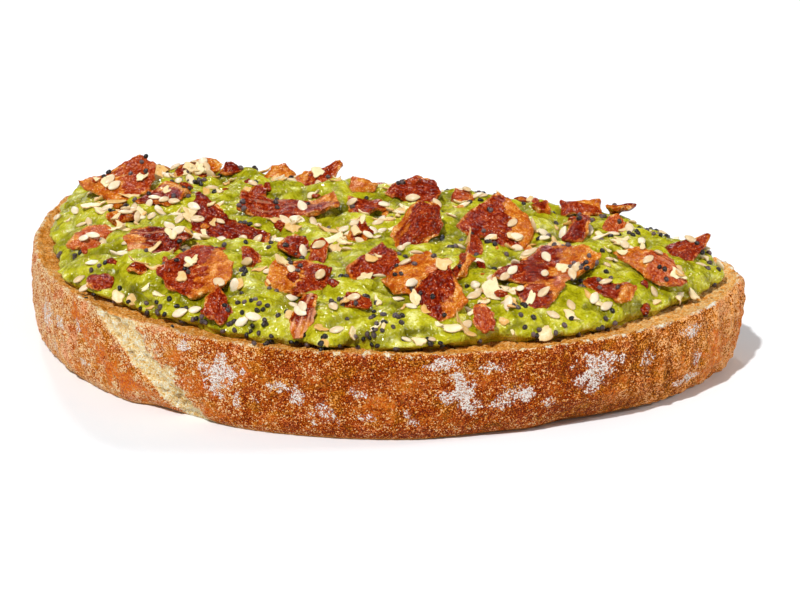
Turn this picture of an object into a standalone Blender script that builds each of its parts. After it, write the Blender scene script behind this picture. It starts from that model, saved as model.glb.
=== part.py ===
"""Avocado toast: a toasted slice of country bread, mashed avocado and crisp bacon bits.

The slice lies flat on z = 0 with its length along X. Its straight edge, the loaf's
base, faces +Y, and its domed crust faces -Y. The origin is at the middle of the
slice's underside. All sizes are in metres.
"""
import math
import random
from collections import namedtuple

import bmesh
import bpy
from mathutils import Euler, Vector, noise
from mathutils.bvhtree import BVHTree

MM = 0.001
GAP = 0.35 * MM                  # air left between pieces that touch

# Slice of bread
SLICE_LENGTH = 145.5 * MM
DOME_REACH = 61.7 * MM           # widest line of the slice to the front of the dome
BASE_REACH = 24.7 * MM           # widest line of the slice to the loaf's base
SLICE_TAPER = 0.12               # the right end is this much slimmer than the middle
SLICE_SKEW = -0.05               # slope of the widest line
BLUNT_END = 2.9                  # superellipse powers of the two corners at the base
ROUND_END = 2.3
SLICE_THICKNESS = 17.8 * MM
CRUMB_LEVEL = 17.0 * MM          # toasted crumb, a little below the crust's rim
CRUST_BUMP = 0.35 * MM           # unevenness of the crust's wall
CRUST_BUMP_SIZE = 14 * MM
SLICE_SEGMENTS = 104

# Baker's cut across the front of the crust, at the left
CUT_WIDTH = 7.8 * MM
CUT_DEPTH = 0.9 * MM
CUT_TOP_X = -40 * MM
CUT_FOOT_X = -22 * MM

# Stretches of the crust whose foot is drawn in under the slice. The four angles are degrees
# round the slice from +X: where the stretch starts, is full, starts to fade, and ends.
Undercut = namedtuple("Undercut", "start full fade end depth")
UNDERCUTS = (
    Undercut(-134, -129, -129, -107, 2.6 * MM),
    Undercut(-62, -44, -40, -30, 2.4 * MM),
    Undercut(-40, -31, -28, 45, 4.3 * MM),
)
UNDERCUT_HEIGHT = 9 * MM

# Mashed avocado
# How much bare crumb is left along the crust, in millimetres, at turns in degrees
# round the slice from +X. It shows the most at both shoulders of the dome.
MASH_INSETS = (
    (-180, 5.5), (-170, 3.9), (-157, 2.8), (-148, 4.6), (-137, 5.4), (-122, 5.3), (-108, 4.2),
    (-95, 3.4), (-84, 2.8), (-72, 2.7), (-62, 3.2), (-54, 5.0), (-42, 6.6), (-35, 5.0),
    (-28, 3.4), (-20, 5.2), (-12, 6.4), (-3, 6.2), (6, 4.6), (18, 4.6), (40, 4.2), (70, 4.6),
    (100, 4.0), (130, 4.6), (155, 4.2), (170, 4.6), (180, 5.5),
)
MASH_CENTRE = (2 * MM, 0)
MASH_FRONT_DEPTH = 5.6 * MM      # at MASH_FRONT_LINE
MASH_BACK_DEPTH = 8.8 * MM       # from MASH_BACK_LINE on
MASH_FRONT_LINE = -45 * MM
MASH_BACK_LINE = 20 * MM
MASH_EDGE_POWER = 9              # the higher, the steeper the heap's edge
MASH_LUMP = 1.6 * MM
MASH_LUMP_SIZE = 8 * MM
BACK_SLOPE_START = 25 * MM       # behind this line the heap falls away to its edge
BACK_SLOPE_LENGTH = 14 * MM
BACK_SLOPE_DROP = 0.6            # part of the depth lost at the end of the slope
MASH_LEAST = 0.5 * MM            # mash left under a bit that is pressed in
MASH_EDGE = 1.2 * MM             # thickness at the very edge of the heap
MASH_CELLS = (46, 24)

# Bacon bits
BACON_THICKNESS = 1.3 * MM
BACON_SEGMENTS = (10, 12)        # small bits, large bits
LARGE_BIT = 8                    # millimetres
BACON_TEAR = (-0.05, 0.09)       # each corner's random shift, as a fraction of its reach
BACON_RIPPLE = (0.25 * MM, 0.5 * MM)
BACON_LIFT = 0.8 * MM            # mean height of a bit above the mash around it
SETTLE_STEP = 0.3 * MM

# The slice's section from the middle of its underside to the middle of its crumb:
# how far each ring lies inside the outline, and its height.
Ring = namedtuple("Ring", "inset height")
SLICE_RINGS = (
    Ring(9.0 * MM, 0.0),
    Ring(2.4 * MM, 0.0),
    Ring(1.0 * MM, 0.8 * MM),
    Ring(0.3 * MM, 2.8 * MM),
    Ring(0.0 * MM, 6.2 * MM),
    Ring(0.0 * MM, 10.0 * MM),
    Ring(0.1 * MM, 13.6 * MM),
    Ring(0.4 * MM, 16.6 * MM),
    Ring(0.9 * MM, SLICE_THICKNESS),
    Ring(1.8 * MM, SLICE_THICKNESS - 0.1 * MM),
    Ring(2.8 * MM, CRUMB_LEVEL),
    Ring(12.0 * MM, CRUMB_LEVEL),
)

# Corner points of the bits' outlines, anticlockwise, as fractions of length and width
SHAPES = {
    "chunk": ((-.50, -.25), (-.05, -.50), (.42, -.40), (.50, .20), (.12, .50), (-.38, .42)),
    "round": ((-.50, -.04), (-.40, -.32), (-.04, -.50), (.36, -.30), (.50, .08), (.16, .50), (-.28, .38)),
    "kite": ((-.50, .02), (-.02, -.50), (.38, -.16), (.50, .24), (.26, .50), (-.06, .30)),
    "shield": ((-.50, -.10), (-.32, -.50), (0, -.46), (.42, -.16), (.50, .08), (.44, .46), (.06, .48),
               (-.22, .26)),
    "wedge": ((-.50, .15), (-.44, -.22), (0, -.44), (.48, -.50), (.50, -.26), (0, .06), (-.24, .42),
              (-.38, .50)),
    "arrow": ((-.50, -.22), (.08, -.50), (.50, -.28), (-.02, .50)),
    "tent": ((-.50, -.06), (-.14, -.28), (.10, -.48), (.42, -.42), (.50, -.10), (.44, .16), (.05, .50),
             (-.22, .30)),
    "fin": ((-.48, .10), (-.38, -.34), (-.06, -.50), (.24, -.40), (.50, .22), (-.10, .46), (-.42, .50)),
    "hood": ((-.50, -.14), (-.44, -.46), (-.16, -.50), (.20, -.38), (.50, -.14), (.46, .22), (.14, .50),
             (-.10, .24)),
    "leaf": ((-.50, -.34), (-.20, -.46), (.12, -.50), (.32, -.28), (.50, .24), (.38, .48), (0, .50),
             (-.30, .10)),
    "sail": ((-.50, -.14), (-.30, -.44), (-.06, -.50), (.12, -.28), (.50, .18), (.44, .34), (.16, .50),
             (-.12, .36)),
    "flap": ((-.50, .42), (-.36, .18), (-.10, -.26), (.12, -.48), (.42, -.46), (.50, -.34), (.24, .40),
             (-.20, .50)),
    "diamond": ((-.50, -.04), (0, -.50), (.26, -.38), (.50, -.14), (.28, .26), (.10, .50), (-.34, .18)),
    "strip": ((-.50, -.30), (0, -.50), (.50, -.34), (.46, .40), (0, .50), (-.46, .46)),
    "horn": ((-.50, .06), (-.28, -.38), (.10, -.50), (.28, -.10), (.50, .36), (.44, .50), (-.12, .32)),
}

# One bacon bit. x, y, length and width are in millimetres, and arch is how far its ends
# rise above its middle. heading turns it about Z, lean tips it towards the dome and roll
# raises its left end, all in degrees. lift raises it further, in millimetres.
Bit = namedtuple("Bit", "shape x y length width heading lean roll arch lift", defaults=(0, 0))
BACON_BITS = (
    # left end, back to front
    Bit("leaf", -44, 8.5, 11, 7, 8, 14, 0),
    Bit("kite", -54.5, 12, 15.5, 13, 15, 34, -4, 1.2, 1.8),
    Bit("leaf", -43, 27, 10.5, 6.5, 15, 26, 0),
    Bit("round", -35.5, 27, 4.5, 3.6, 30, 24, 0),
    Bit("leaf", -49, -1.5, 6, 4.4, -10, 12, 0),
    Bit("leaf", -53, -10, 8.5, 7, 12, 24, 0),
    Bit("fin", -37.5, -14, 13.5, 8.5, 12, 26, 0, 0.6),
    Bit("round", -37.5, -25, 4.4, 3.8, -30, 18, 0, 0, 0.4),
    Bit("chunk", -45, -26, 5.8, 4.4, 12, 32, 0, 0, 0.9),
    Bit("wedge", -27, -1.5, 15.5, 13.2, 15, 32, 0, 0.8),
    Bit("round", -25, -27.5, 14.5, 12, 15, 34, 0, 1.0, 1.0),
    Bit("arrow", -18, -36.5, 6.8, 8.4, 15, 46, 0, 0, 1.9),
    Bit("chunk", -17.5, -17, 4, 3.8, 20, 30, 0),
    # middle, back to front
    Bit("round", -26.5, 16, 4.3, 3.4, 15, 32, 0),
    Bit("round", -26.5, 31.5, 6.4, 5.8, 15, 34, 0),
    Bit("horn", -17.5, 29, 10.2, 8.4, 18, 32, -4, 0.8),
    Bit("strip", -17.5, 7, 19.5, 6.4, 16, 14, 0, 2.6, 0.6),
    Bit("strip", -3, 12.5, 7.6, 5, 24, 26, 0),
    Bit("chunk", -6.5, 22.5, 6, 4.6, 10, 24, 0),
    Bit("tent", 3.8, 23, 10.6, 9, 15, 30, 0, 0.5),
    Bit("shield", 10, 2, 9.8, 11, 15, 42, 0, -1.2, 1.2),
    Bit("round", 14, 24, 5.2, 4.2, 20, 26, 0),
    Bit("round", -0.5, -0.5, 5.2, 6, 15, 32, 0),
    Bit("chunk", -11, -10.5, 6, 5.6, 12, 24, 0),
    Bit("leaf", -6, -11.5, 4.6, 6.6, 30, 32, 0),
    Bit("chunk", -6, -24, 12, 8.6, 15, 32, 0, 0.5),
    Bit("shield", -1, -38, 4.8, 9.2, 12, 42, 0, 0, 0.6),
    Bit("hood", 6.5, -16.5, 10.6, 10, 15, 32, 0, 0.5),
    Bit("chunk", 7.5, -31.5, 5.6, 4.2, 6, 30, 0),
    Bit("diamond", 22, -27, 10.8, 13.2, 15, 36, 0, 0.6, 0.7),
    Bit("sail", 16, -21, 13.6, 10.4, 15, 28, 0, -0.6, 1.6),
    Bit("chunk", 31.5, -30, 4, 5.4, 20, 44, 0, 0, 3.0),
    # right end, back to front
    Bit("strip", 23, -13, 3.4, 6.4, -12, 32, 0),
    Bit("leaf", 22.5, -2, 4.4, 6, 35, 28, 0),
    Bit("tent", 24.5, 6.5, 14.8, 13.8, 15, 34, 0, -1.0, 1.4),
    Bit("arrow", 31, 21, 4.5, 4, -15, 24, 0),
    Bit("strip", 38, 25, 8.2, 4.4, 24, 22, 0),
    Bit("leaf", 40.5, 9.5, 5, 7.4, 5, 36, 0, 0, 0.4),
    Bit("round", 46.5, 15.5, 4.5, 5.4, 15, 34, 0),
    Bit("leaf", 38.5, -9.5, 20, 11, 15, 20, 0, 0.8, 0.6),
    Bit("horn", 61.5, 12, 9.6, 7, 12, 30, -8),
    Bit("flap", 57, -1.5, 13.4, 9.6, 15, 28, 0, -1.0, 1.9),
    Bit("strip", 51.5, -12.5, 11, 4.6, -24, 22, 0, 0.5, 1.2),
    Bit("horn", 39.8, -19.5, 10, 8, 15, 28, 0),
    # back slope
    Bit("chunk", -53, 29.5, 6.5, 5.4, -20, -24, 0),
    Bit("leaf", -29, 35.5, 8.5, 5.2, 10, -26, 0),
    Bit("flap", -7, 34.5, 8, 5.6, -12, -28, 0),
    Bit("shield", 9.5, 33.5, 9, 5.2, 14, -26, 0),
    Bit("leaf", 26, 31.5, 7, 5, -8, -28, 0),
    Bit("round", 45.5, 26.5, 6, 5.2, 12, -26, 0),
)


# ---------------------------------------------------------------- slice outline

def raw_outline(turn):
    """Point of the slice's outline, before it is centred on the origin."""
    across, along = math.cos(turn), math.sin(turn)
    if along < 0:
        power, reach = 2.0, DOME_REACH
    else:
        power = BLUNT_END if across < 0 else ROUND_END
        reach = BASE_REACH
    x = math.copysign(abs(across) ** (2 / power), across)
    y = math.copysign(abs(along) ** (2 / power), along)
    half = SLICE_LENGTH / 2
    return Vector((x * half, y * reach * (1 - SLICE_TAPER * x) + SLICE_SKEW * x * half))


def slice_outline(count, fine=8):
    """Points at even steps along the outline, anticlockwise, with their outward normals."""
    raw = [raw_outline(math.tau * i / (count * fine)) for i in range(count * fine)]
    low = Vector((min(p.x for p in raw), min(p.y for p in raw)))
    high = Vector((max(p.x for p in raw), max(p.y for p in raw)))
    raw = [p - (low + high) / 2 for p in raw]
    lengths = [(b - a).length for a, b in zip(raw, raw[1:] + raw[:1])]
    step = sum(lengths) / count
    points, walked, edge = [], 0.0, 0
    for i in range(count):
        while walked + lengths[edge] < i * step:
            walked += lengths[edge]
            edge += 1
        part = (i * step - walked) / lengths[edge]
        points.append(raw[edge].lerp(raw[(edge + 1) % len(raw)], part))
    normals = []
    for i in range(count):
        ahead = points[(i + 1) % count] - points[i - 1]
        normals.append(Vector((ahead.y, -ahead.x)).normalized())
    return points, normals


# ---------------------------------------------------------------- shared helpers

def clamped(value):
    return max(0.0, min(1.0, value))


def uneven(x, y, size, seed=0.0):
    """Smooth noise between about -1 and 1 whose bumps are `size` apart."""
    return noise.noise(Vector((x / size, y / size, seed)))


def shaped_sphere(name, segments, rings, place):
    """UV sphere whose every vertex goes where place(segment, ring) says.

    Ring 0 is the bottom pole and ring `rings` + 1 is the top pole.
    """
    bm = bmesh.new()
    bmesh.ops.create_uvsphere(bm, u_segments=segments, v_segments=rings + 1, radius=1)
    for vert in bm.verts:
        ring = round(math.acos(max(-1.0, min(1.0, -vert.co.z))) / math.pi * (rings + 1))
        segment = round(math.atan2(vert.co.y, vert.co.x) / math.tau * segments) % segments
        vert.co = place(segment, ring)
    mesh = bpy.data.meshes.new(name)
    bm.to_mesh(mesh)
    bm.free()
    return mesh


def add_object(name, mesh, colour, roughness, collection):
    """Put a mesh in the collection, smooth shaded, with its own Principled material."""
    material = bpy.data.materials.new(name)
    material.use_nodes = True
    shader = material.node_tree.nodes["Principled BSDF"]
    shader.inputs["Base Color"].default_value = (*colour, 1)
    shader.inputs["Roughness"].default_value = roughness
    shader.inputs["Metallic"].default_value = 0
    mesh.materials.append(material)
    mesh.shade_smooth()
    obj = bpy.data.objects.new(name, mesh)
    collection.objects.link(obj)
    return obj


def tree_of(mesh, matrix=None, grow=0.0):
    """Search tree of a mesh in world space, with its surface moved out by `grow`."""
    points = [v.co + v.normal * grow for v in mesh.vertices]
    if matrix:
        points = [matrix @ p for p in points]
    return BVHTree.FromPolygons(points, [tuple(p.vertices) for p in mesh.polygons])


# ---------------------------------------------------------------- bread

def cut_depth(x, y, z):
    """Depth of the baker's cut at a point of the crust: a slanting valley on the dome."""
    if y > 0:
        return 0.0
    middle = CUT_FOOT_X + (CUT_TOP_X - CUT_FOOT_X) * z / SLICE_THICKNESS
    off = (x - middle) / (CUT_WIDTH / 2)
    return CUT_DEPTH * max(0.0, 1 - off * off)


def undercut(x, y, z):
    """How far the crust is drawn in at a point of its wall, most at the foot."""
    turn = math.degrees(math.atan2(y, x))
    depth = 0.0
    for cut in UNDERCUTS:
        rise = clamped((turn - cut.start) / (cut.full - cut.start))
        fall = clamped((cut.end - turn) / (cut.end - cut.fade))
        depth = max(depth, cut.depth * min(rise, fall))
    return depth * clamped(1 - z / UNDERCUT_HEIGHT) ** 2


def wall_bump(spot, height):
    """Unevenness of the crust's wall, inward more than outward."""
    bump = uneven(spot.x, spot.y, CRUST_BUMP_SIZE, height / (CRUST_BUMP_SIZE * 0.6))
    return (bump - 0.4) * CRUST_BUMP


def make_slice(collection):
    points, normals = slice_outline(SLICE_SEGMENTS)

    def place(segment, ring):
        if ring == 0:
            return Vector((0, 0, 0))
        if ring > len(SLICE_RINGS):
            return Vector((0, 0, CRUMB_LEVEL))
        inset, height = SLICE_RINGS[ring - 1]
        point, normal = points[segment], normals[segment]
        spot = point - normal * inset
        if 0 < height < CRUMB_LEVEL:
            spot += normal * (wall_bump(spot, height) - cut_depth(spot.x, spot.y, height))
        if ring > 1:
            spot -= normal * undercut(point.x, point.y, height)
        return Vector((spot.x, spot.y, height))

    mesh = shaped_sphere("bread_slice", SLICE_SEGMENTS, len(SLICE_RINGS), place)
    return add_object("bread_slice", mesh, (0.42, 0.17, 0.045), 0.7, collection)


# ---------------------------------------------------------------- mashed avocado

def mash_inset(point):
    """Bare crumb between the crust and the heap at a point of the slice's outline."""
    turn = math.degrees(math.atan2(point.y, point.x))
    for (before, first), (after, second) in zip(MASH_INSETS, MASH_INSETS[1:]):
        if turn <= after:
            part = (1 - math.cos(math.pi * (turn - before) / (after - before))) / 2
            return (first + (second - first) * part) * MM
    return MASH_INSETS[-1][1] * MM


class Mash:
    """The heap of mashed avocado as a height above the crumb."""

    def __init__(self, rays=180):
        self.centre = Vector(MASH_CENTRE)
        points, normals = slice_outline(rays * 2)
        edge = []
        for point, normal in zip(points, normals):
            edge.append(point - normal * mash_inset(point) - self.centre)
        edge.sort(key=lambda p: math.atan2(p.y, p.x))
        self.turns = [math.atan2(p.y, p.x) for p in edge]
        self.reaches = [p.length for p in edge]

    def reach(self, turn):
        """Distance from the heap's centre to its edge in one direction."""
        turn = (turn + math.pi) % math.tau - math.pi
        count = len(self.turns)
        after = next((i for i, t in enumerate(self.turns) if t >= turn), 0)
        before = after - 1
        span = (self.turns[after] - self.turns[before]) % math.tau
        part = ((turn - self.turns[before]) % math.tau) / span if span else 0.0
        return self.reaches[before % count] * (1 - part) + self.reaches[after] * part

    def spot(self, across, along):
        """Plan position for a point of the unit disc."""
        turn = math.atan2(along, across)
        return self.centre + Vector((across, along)) * self.reach(turn)

    def height(self, x, y):
        """Top of the heap, or of the crumb outside it."""
        offset = Vector((x, y)) - self.centre
        ratio = offset.length / self.reach(math.atan2(offset.y, offset.x))
        if ratio >= 1:
            return CRUMB_LEVEL
        back = clamped((y - MASH_FRONT_LINE) / (MASH_BACK_LINE - MASH_FRONT_LINE))
        depth = MASH_FRONT_DEPTH + (MASH_BACK_DEPTH - MASH_FRONT_DEPTH) * back
        swell = uneven(x, y, MASH_LUMP_SIZE, 1.0) + 0.6 * uneven(x, y, 2 * MASH_LUMP_SIZE, 5.0)
        depth += MASH_LUMP * swell
        behind = clamped((y - BACK_SLOPE_START) / BACK_SLOPE_LENGTH)
        depth *= 1 - BACK_SLOPE_DROP * behind * behind
        return CRUMB_LEVEL + depth * (1 - ratio ** MASH_EDGE_POWER) ** 0.6


def lowest_above(tree, spot, reach, spokes=24):
    """Lowest point of the bacon above a round patch of the crumb."""
    starts = [spot]
    for part in (0.2, 0.4, 0.6, 0.8, 1.0, 1.1):
        for spoke in range(spokes):
            turn = math.tau * spoke / spokes
            starts.append(spot + Vector((math.cos(turn), math.sin(turn), 0)) * reach * part)
    hits = [tree.ray_cast(start, Vector((0, 0, 1)))[0] for start in starts]
    return min((hit.z for hit in hits if hit), default=math.inf)


def make_mash(mash, bacon, collection):
    """Closed heap: a grid spread over the slice, pressed down wherever a bit lies."""
    pressing = joined_tree(bacon)
    floor = CRUMB_LEVEL + GAP
    bm = bmesh.new()
    bmesh.ops.create_grid(bm, x_segments=MASH_CELLS[0], y_segments=MASH_CELLS[1], size=1)
    for vert in bm.verts:
        u, v = vert.co.x, vert.co.y
        spot = mash.spot(u * math.sqrt(1 - v * v / 2), v * math.sqrt(1 - u * u / 2))
        vert.co = (spot.x, spot.y, CRUMB_LEVEL)
    levels = []
    for vert in bm.verts:
        reach = max(edge.calc_length() for edge in vert.link_edges)
        level = floor + MASH_EDGE if vert.is_boundary else mash.height(vert.co.x, vert.co.y)
        level = min(level, lowest_above(pressing, vert.co, reach) - GAP)
        levels.append(max(level, floor + MASH_LEAST))
    for vert, level in zip(bm.verts, levels):
        vert.co.z = level
    rim = [edge for edge in bm.edges if edge.is_boundary]
    skirt = bmesh.ops.extrude_edge_only(bm, edges=rim)["geom"]
    for vert in (item for item in skirt if isinstance(item, bmesh.types.BMVert)):
        vert.co.z = floor
    bmesh.ops.holes_fill(bm, edges=[edge for edge in bm.edges if edge.is_boundary])
    bmesh.ops.recalc_face_normals(bm, faces=bm.faces)
    mesh = bpy.data.meshes.new("avocado_mash")
    bm.to_mesh(mesh)
    bm.free()
    return add_object("avocado_mash", mesh, (0.33, 0.43, 0.03), 0.35, collection)


# ---------------------------------------------------------------- bacon

def rim_points(corners, count):
    """The corners with points added halfway along the longest edges, `count` in all."""
    points = [Vector(corner) for corner in corners]
    while len(points) < count:
        edges = [(points[(i + 1) % len(points)] - p).length for i, p in enumerate(points)]
        longest = edges.index(max(edges))
        middle = (points[longest] + points[(longest + 1) % len(points)]) / 2
        points.insert(longest + 1, middle)
    return points


def bacon_mesh(name, bit, seed):
    """Thin curved plate with a torn outline, centred on the origin."""
    rng = random.Random(seed)
    segments = BACON_SEGMENTS[max(bit.length, bit.width) > LARGE_BIT]
    rim = rim_points(SHAPES[bit.shape], segments)
    rim = [p * (1 + rng.uniform(*BACON_TEAR)) for p in rim]
    centre = sum(rim, Vector((0, 0))) / len(rim)
    ripple = rng.uniform(*BACON_RIPPLE)
    phase = rng.uniform(0, math.tau)
    # from the middle of the underside, over the rim, to the middle of the top
    reaches = (0, 0.55, 1, 1, 0.55, 0)
    levels = (-0.5, -0.5, -0.38, 0.38, 0.5, 0.5)

    def place(segment, ring):
        part = centre.lerp(rim[segment], reaches[ring])
        x, y = part.x * bit.length * MM, part.y * bit.width * MM
        z = levels[ring] * BACON_THICKNESS
        z += bit.arch * MM * ((2 * part.x) ** 2 - 0.35)
        z += ripple * math.sin(phase + 5 * part.x + 4 * part.y)
        return Vector((x, y, z))

    return shaped_sphere(name, segments, 4, place)


def joined_tree(bits):
    """One search tree for all the bits, in world space."""
    points, faces = [], []
    for bit in bits:
        start = len(points)
        points += [bit.matrix_world @ v.co for v in bit.data.vertices]
        faces += [[start + i for i in p.vertices] for p in bit.data.polygons]
    return BVHTree.FromPolygons(points, faces)


def settle(obj, bit, mash, others):
    """Lay a bit on the heap, then raise it until it is clear of the pieces below it."""
    turn = Euler([math.radians(a) for a in (bit.lean, bit.roll, bit.heading)])
    obj.rotation_euler = turn
    offsets = [turn.to_matrix() @ v.co for v in obj.data.vertices]
    x, y = bit.x * MM, bit.y * MM
    levels = [mash.height(x + p.x, y + p.y) - p.z for p in offsets]
    z = sum(levels) / len(levels) + BACON_LIFT + bit.lift * MM
    least = CRUMB_LEVEL + MASH_LEAST + 2 * GAP
    z = max(z, least - min(p.z for p in offsets))
    while True:
        obj.location = (x, y, z)
        bpy.context.view_layer.update()
        tree = tree_of(obj.data, obj.matrix_world, GAP)
        if not any(tree.overlap(other) for other in others):
            return
        z += SETTLE_STEP


def make_bacon(mash, bread, collection):
    trees = [tree_of(bread.data)]
    bits = []
    for number, bit in enumerate(BACON_BITS, start=1):
        name = f"bacon_{number:02d}"
        mesh = bacon_mesh(name, bit, number)
        obj = add_object(name, mesh, (0.32, 0.07, 0.03), 0.45, collection)
        settle(obj, bit, mash, trees)
        trees.append(tree_of(mesh, obj.matrix_world))
        bits.append(obj)
    return bits


# ---------------------------------------------------------------- build

def clear_scene():
    for obj in list(bpy.data.objects):
        bpy.data.objects.remove(obj, do_unlink=True)


def main():
    clear_scene()
    collection = bpy.data.collections.new("avocado_toast")
    bpy.context.scene.collection.children.link(collection)
    bread = make_slice(collection)
    mash = Mash()
    bacon = make_bacon(mash, bread, collection)
    make_mash(mash, bacon, collection)


main()
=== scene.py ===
"""Looks of the avocado toast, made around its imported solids.

The bread, the mash and each bacon bit are made again as fine meshes that follow the
solids, and seeds, flakes and crumbs are laid on them. Everything is in metres, in the
frame of the solids: the slice's dome faces -Y and z = 0 is the surface that it lies on.
"""
import math
from collections import namedtuple

import bmesh
import bpy
import numpy as np
from mathutils import Matrix, Vector, kdtree, noise
from mathutils.bvhtree import BVHTree
from mathutils.geometry import delaunay_2d_cdt


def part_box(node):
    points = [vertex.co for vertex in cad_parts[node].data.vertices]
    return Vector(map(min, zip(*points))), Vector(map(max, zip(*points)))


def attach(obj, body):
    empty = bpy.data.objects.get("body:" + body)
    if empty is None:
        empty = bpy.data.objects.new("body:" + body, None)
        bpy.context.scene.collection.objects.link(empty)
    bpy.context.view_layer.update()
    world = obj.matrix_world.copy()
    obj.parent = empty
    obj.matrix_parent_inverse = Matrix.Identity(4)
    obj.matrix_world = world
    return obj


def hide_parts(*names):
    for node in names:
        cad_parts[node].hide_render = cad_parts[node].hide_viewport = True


MM = 0.001
UP = Vector((0, 0, 1))
BODY = "root"

# Camera and light
AIM = Vector((5.9, 5.4, 10)) * MM
VIEW_AZIMUTH = 15                # degrees, 0 looks along +Y
VIEW_ELEVATION = 21
VIEW_DISTANCE = 0.65
LENS = 148.3
# Each light: degrees from +X to where it comes from, elevation, strength and spread
LIGHTS = {"key": (-100, 54, 3.0, 3), "back": (118, 30, 0.6, 5), "fill": (22, 24, 1.15, 10)}
SKY_STRENGTH = 0.27
FLOOR_REACH = 4

# Bread
CRUMB_LEVEL = 17.0 * MM
COLUMNS = 1120                   # round the slice
CELL = 0.36 * MM                 # between the rows of the wall
FIRST_ROW = 0.12 * MM            # height of the wall's first row above the underside
FOOT_DRAWN_IN = 0.7 * MM         # how far the underside's edge lies inside that row
WALL_TOP = 16.4 * MM
SLICE_TOP = 17.8 * MM
FINE_RIM = 3 * MM                # how far over the rim the rows stay one cell apart
PROBE = 15 * MM                  # how far inside the outline the wall is probed from
UNDERSIDE_CELL = 1.3 * MM
HIDDEN_CELL = 4 * MM             # on the crumb that the mash covers
# Section over the crust's rim, from the top of its wall to the bare crumb: how far each
# point lies inside the widest line, and its height, in millimetres
RIM = ((0.35, 16.4), (0.42, 17.0), (0.62, 17.5), (0.95, 17.75), (1.5, 17.6), (2.4, 17.2),
       (3.4, 16.95), (5.0, 16.8), (8.6, 16.8))
# Baker's cut, as in the solid
CUT_TOP_X = -40 * MM
CUT_FOOT_X = -21 * MM
CUT_HALF_WIDTHS = (1.8 * MM, 3.2 * MM)      # at its foot and its top

# Mashed avocado
HEAP_CENTRE = Vector((2, 0)) * MM
FRONT_LINE = -45 * MM            # y where the mash is FRONT_DEPTH deep
FRONT_DEPTH = 5.6 * MM
BACK_LINE = 20 * MM              # and y from which it is BACK_DEPTH deep
BACK_DEPTH = 8.8 * MM
SLOPE_START = 25 * MM            # y where it begins to slope down to the back
SLOPE_LENGTH = 14 * MM
SLOPE_DROP = 0.6                 # part of the depth lost over that length
EDGE_POWER = 9                   # the higher, the later and steeper the edge falls
SWELL = 1.6 * MM                 # height and size of the slow swells on top
SWELL_SIZE = 8 * MM
HEAP_CELL = 0.5 * MM
HEAP_VOXEL = 0.462 * MM
COARSE_VOXEL = HEAP_VOXEL * 1.25     # before the lumps are raised
DENT_SLOPE = 1.0                 # rise of the mash beside a bit that is pressed in
DENT_STEPS = 7                   # and how many heap cells the dent reaches
HEAP_GRID = 0.55 * MM            # of the heap's mesh, before it is made even
SKIRT = 0.6 * MM                 # how far the heap's mesh goes down into the crumb
BULGE = 0.8 * MM                 # how far the heap's edge swells out over its foot
FOOT_INSET = 1.1 * MM            # and how far its foot is drawn in
LOBE = 1.3 * MM                  # how much the edge comes and goes
SEAT = 0.3 * MM                  # how deep the bits sit in the mash

# Bacon
BACON_VOXEL = 0.26 * MM
WRINKLES = np.array((0.35, 1, 1))    # how close they lie along, across and through a bit


# ---------------------------------------------------------------- noise

ROLL = np.random.default_rng(11)
PERMUTATION = ROLL.permutation(256)
GRADIENTS = ROLL.normal(size=(256, 3))
GRADIENTS /= np.linalg.norm(GRADIENTS, axis=1, keepdims=True)
JITTER = ROLL.random((256, 3))


def rise(low, high, value):
    """0 below low, 1 above high, and a smooth rise between."""
    part = np.clip((value - low) / (high - low), 0, 1)
    return part * part * (3 - 2 * part)


def shuffled(cell):
    """A number from 0 to 255 for each whole-numbered point, the same every time."""
    x, y, z = cell.T
    return PERMUTATION[(PERMUTATION[(PERMUTATION[x & 255] + y) & 255] + z) & 255]


def unit_waves(points, seed):
    """Smooth noise from about -1 to 1, its swells about one unit across."""
    spots = points + 17.3 * seed
    cell = np.floor(spots).astype(int)
    part = spots - cell
    fade = part ** 3 * (part * (part * 6 - 15) + 10)
    total = np.zeros(len(points))
    for corner in np.ndindex(2, 2, 2):
        corner = np.array(corner)
        push = (GRADIENTS[shuffled(cell + corner)] * (part - corner)).sum(1)
        total += push * np.where(corner, fade, 1 - fade).prod(1)
    return total * 1.7


def waves(points, size, seed):
    """Smooth noise. Its size in millimetres is one number, or one for each axis."""
    return unit_waves(points / (np.array(size) * MM), seed)


def cells(points, size, seed):
    """Distance to the nearest of many scattered centres, counted in sizes."""
    spots = points / (np.array(size) * MM) + 31.7 * seed
    cell = np.floor(spots).astype(int)
    part = spots - cell
    nearest = np.full(len(points), 9.0)
    for step in np.ndindex(3, 3, 3):
        step = np.array(step) - 1
        centre = step + JITTER[shuffled(cell + step)]
        nearest = np.minimum(nearest, np.linalg.norm(centre - part, axis=1))
    return nearest


def blurred(values, spread, axis, round_about=False):
    """Values smoothed along one axis by a bell curve of that spread, in steps."""
    reach = int(spread * 3) + 1
    weights = np.exp(-0.5 * (np.arange(-reach, reach + 1) / spread) ** 2)
    weights /= weights.sum()
    pad = [(0, 0)] * values.ndim
    pad[axis] = (reach, reach)
    padded = np.pad(values, pad, mode="wrap" if round_about else "edge")
    return np.apply_along_axis(lambda line: np.convolve(line, weights, "valid"), axis, padded)


# ---------------------------------------------------------------- meshes

def new_object(name, data):
    item = bpy.data.objects.new(name, data)
    bpy.context.scene.collection.objects.link(item)
    return item


def new_piece(name, points, faces, material, replaced=()):
    """A smooth mesh piece that rides on the toast's one body."""
    mesh = bpy.data.meshes.new(name)
    mesh.from_pydata(np.asarray(points).tolist(), [], [list(map(int, f)) for f in faces])
    return as_piece(name, mesh, material, replaced)


def as_piece(name, mesh, material, replaced=()):
    """The same from a mesh, in place of the solids that it replaces."""
    mesh.shade_smooth()
    mesh.materials.clear()
    mesh.materials.append(material)
    piece = new_object(name, mesh)
    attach(piece, BODY)
    if replaced:
        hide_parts(*replaced)
    return piece


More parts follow.
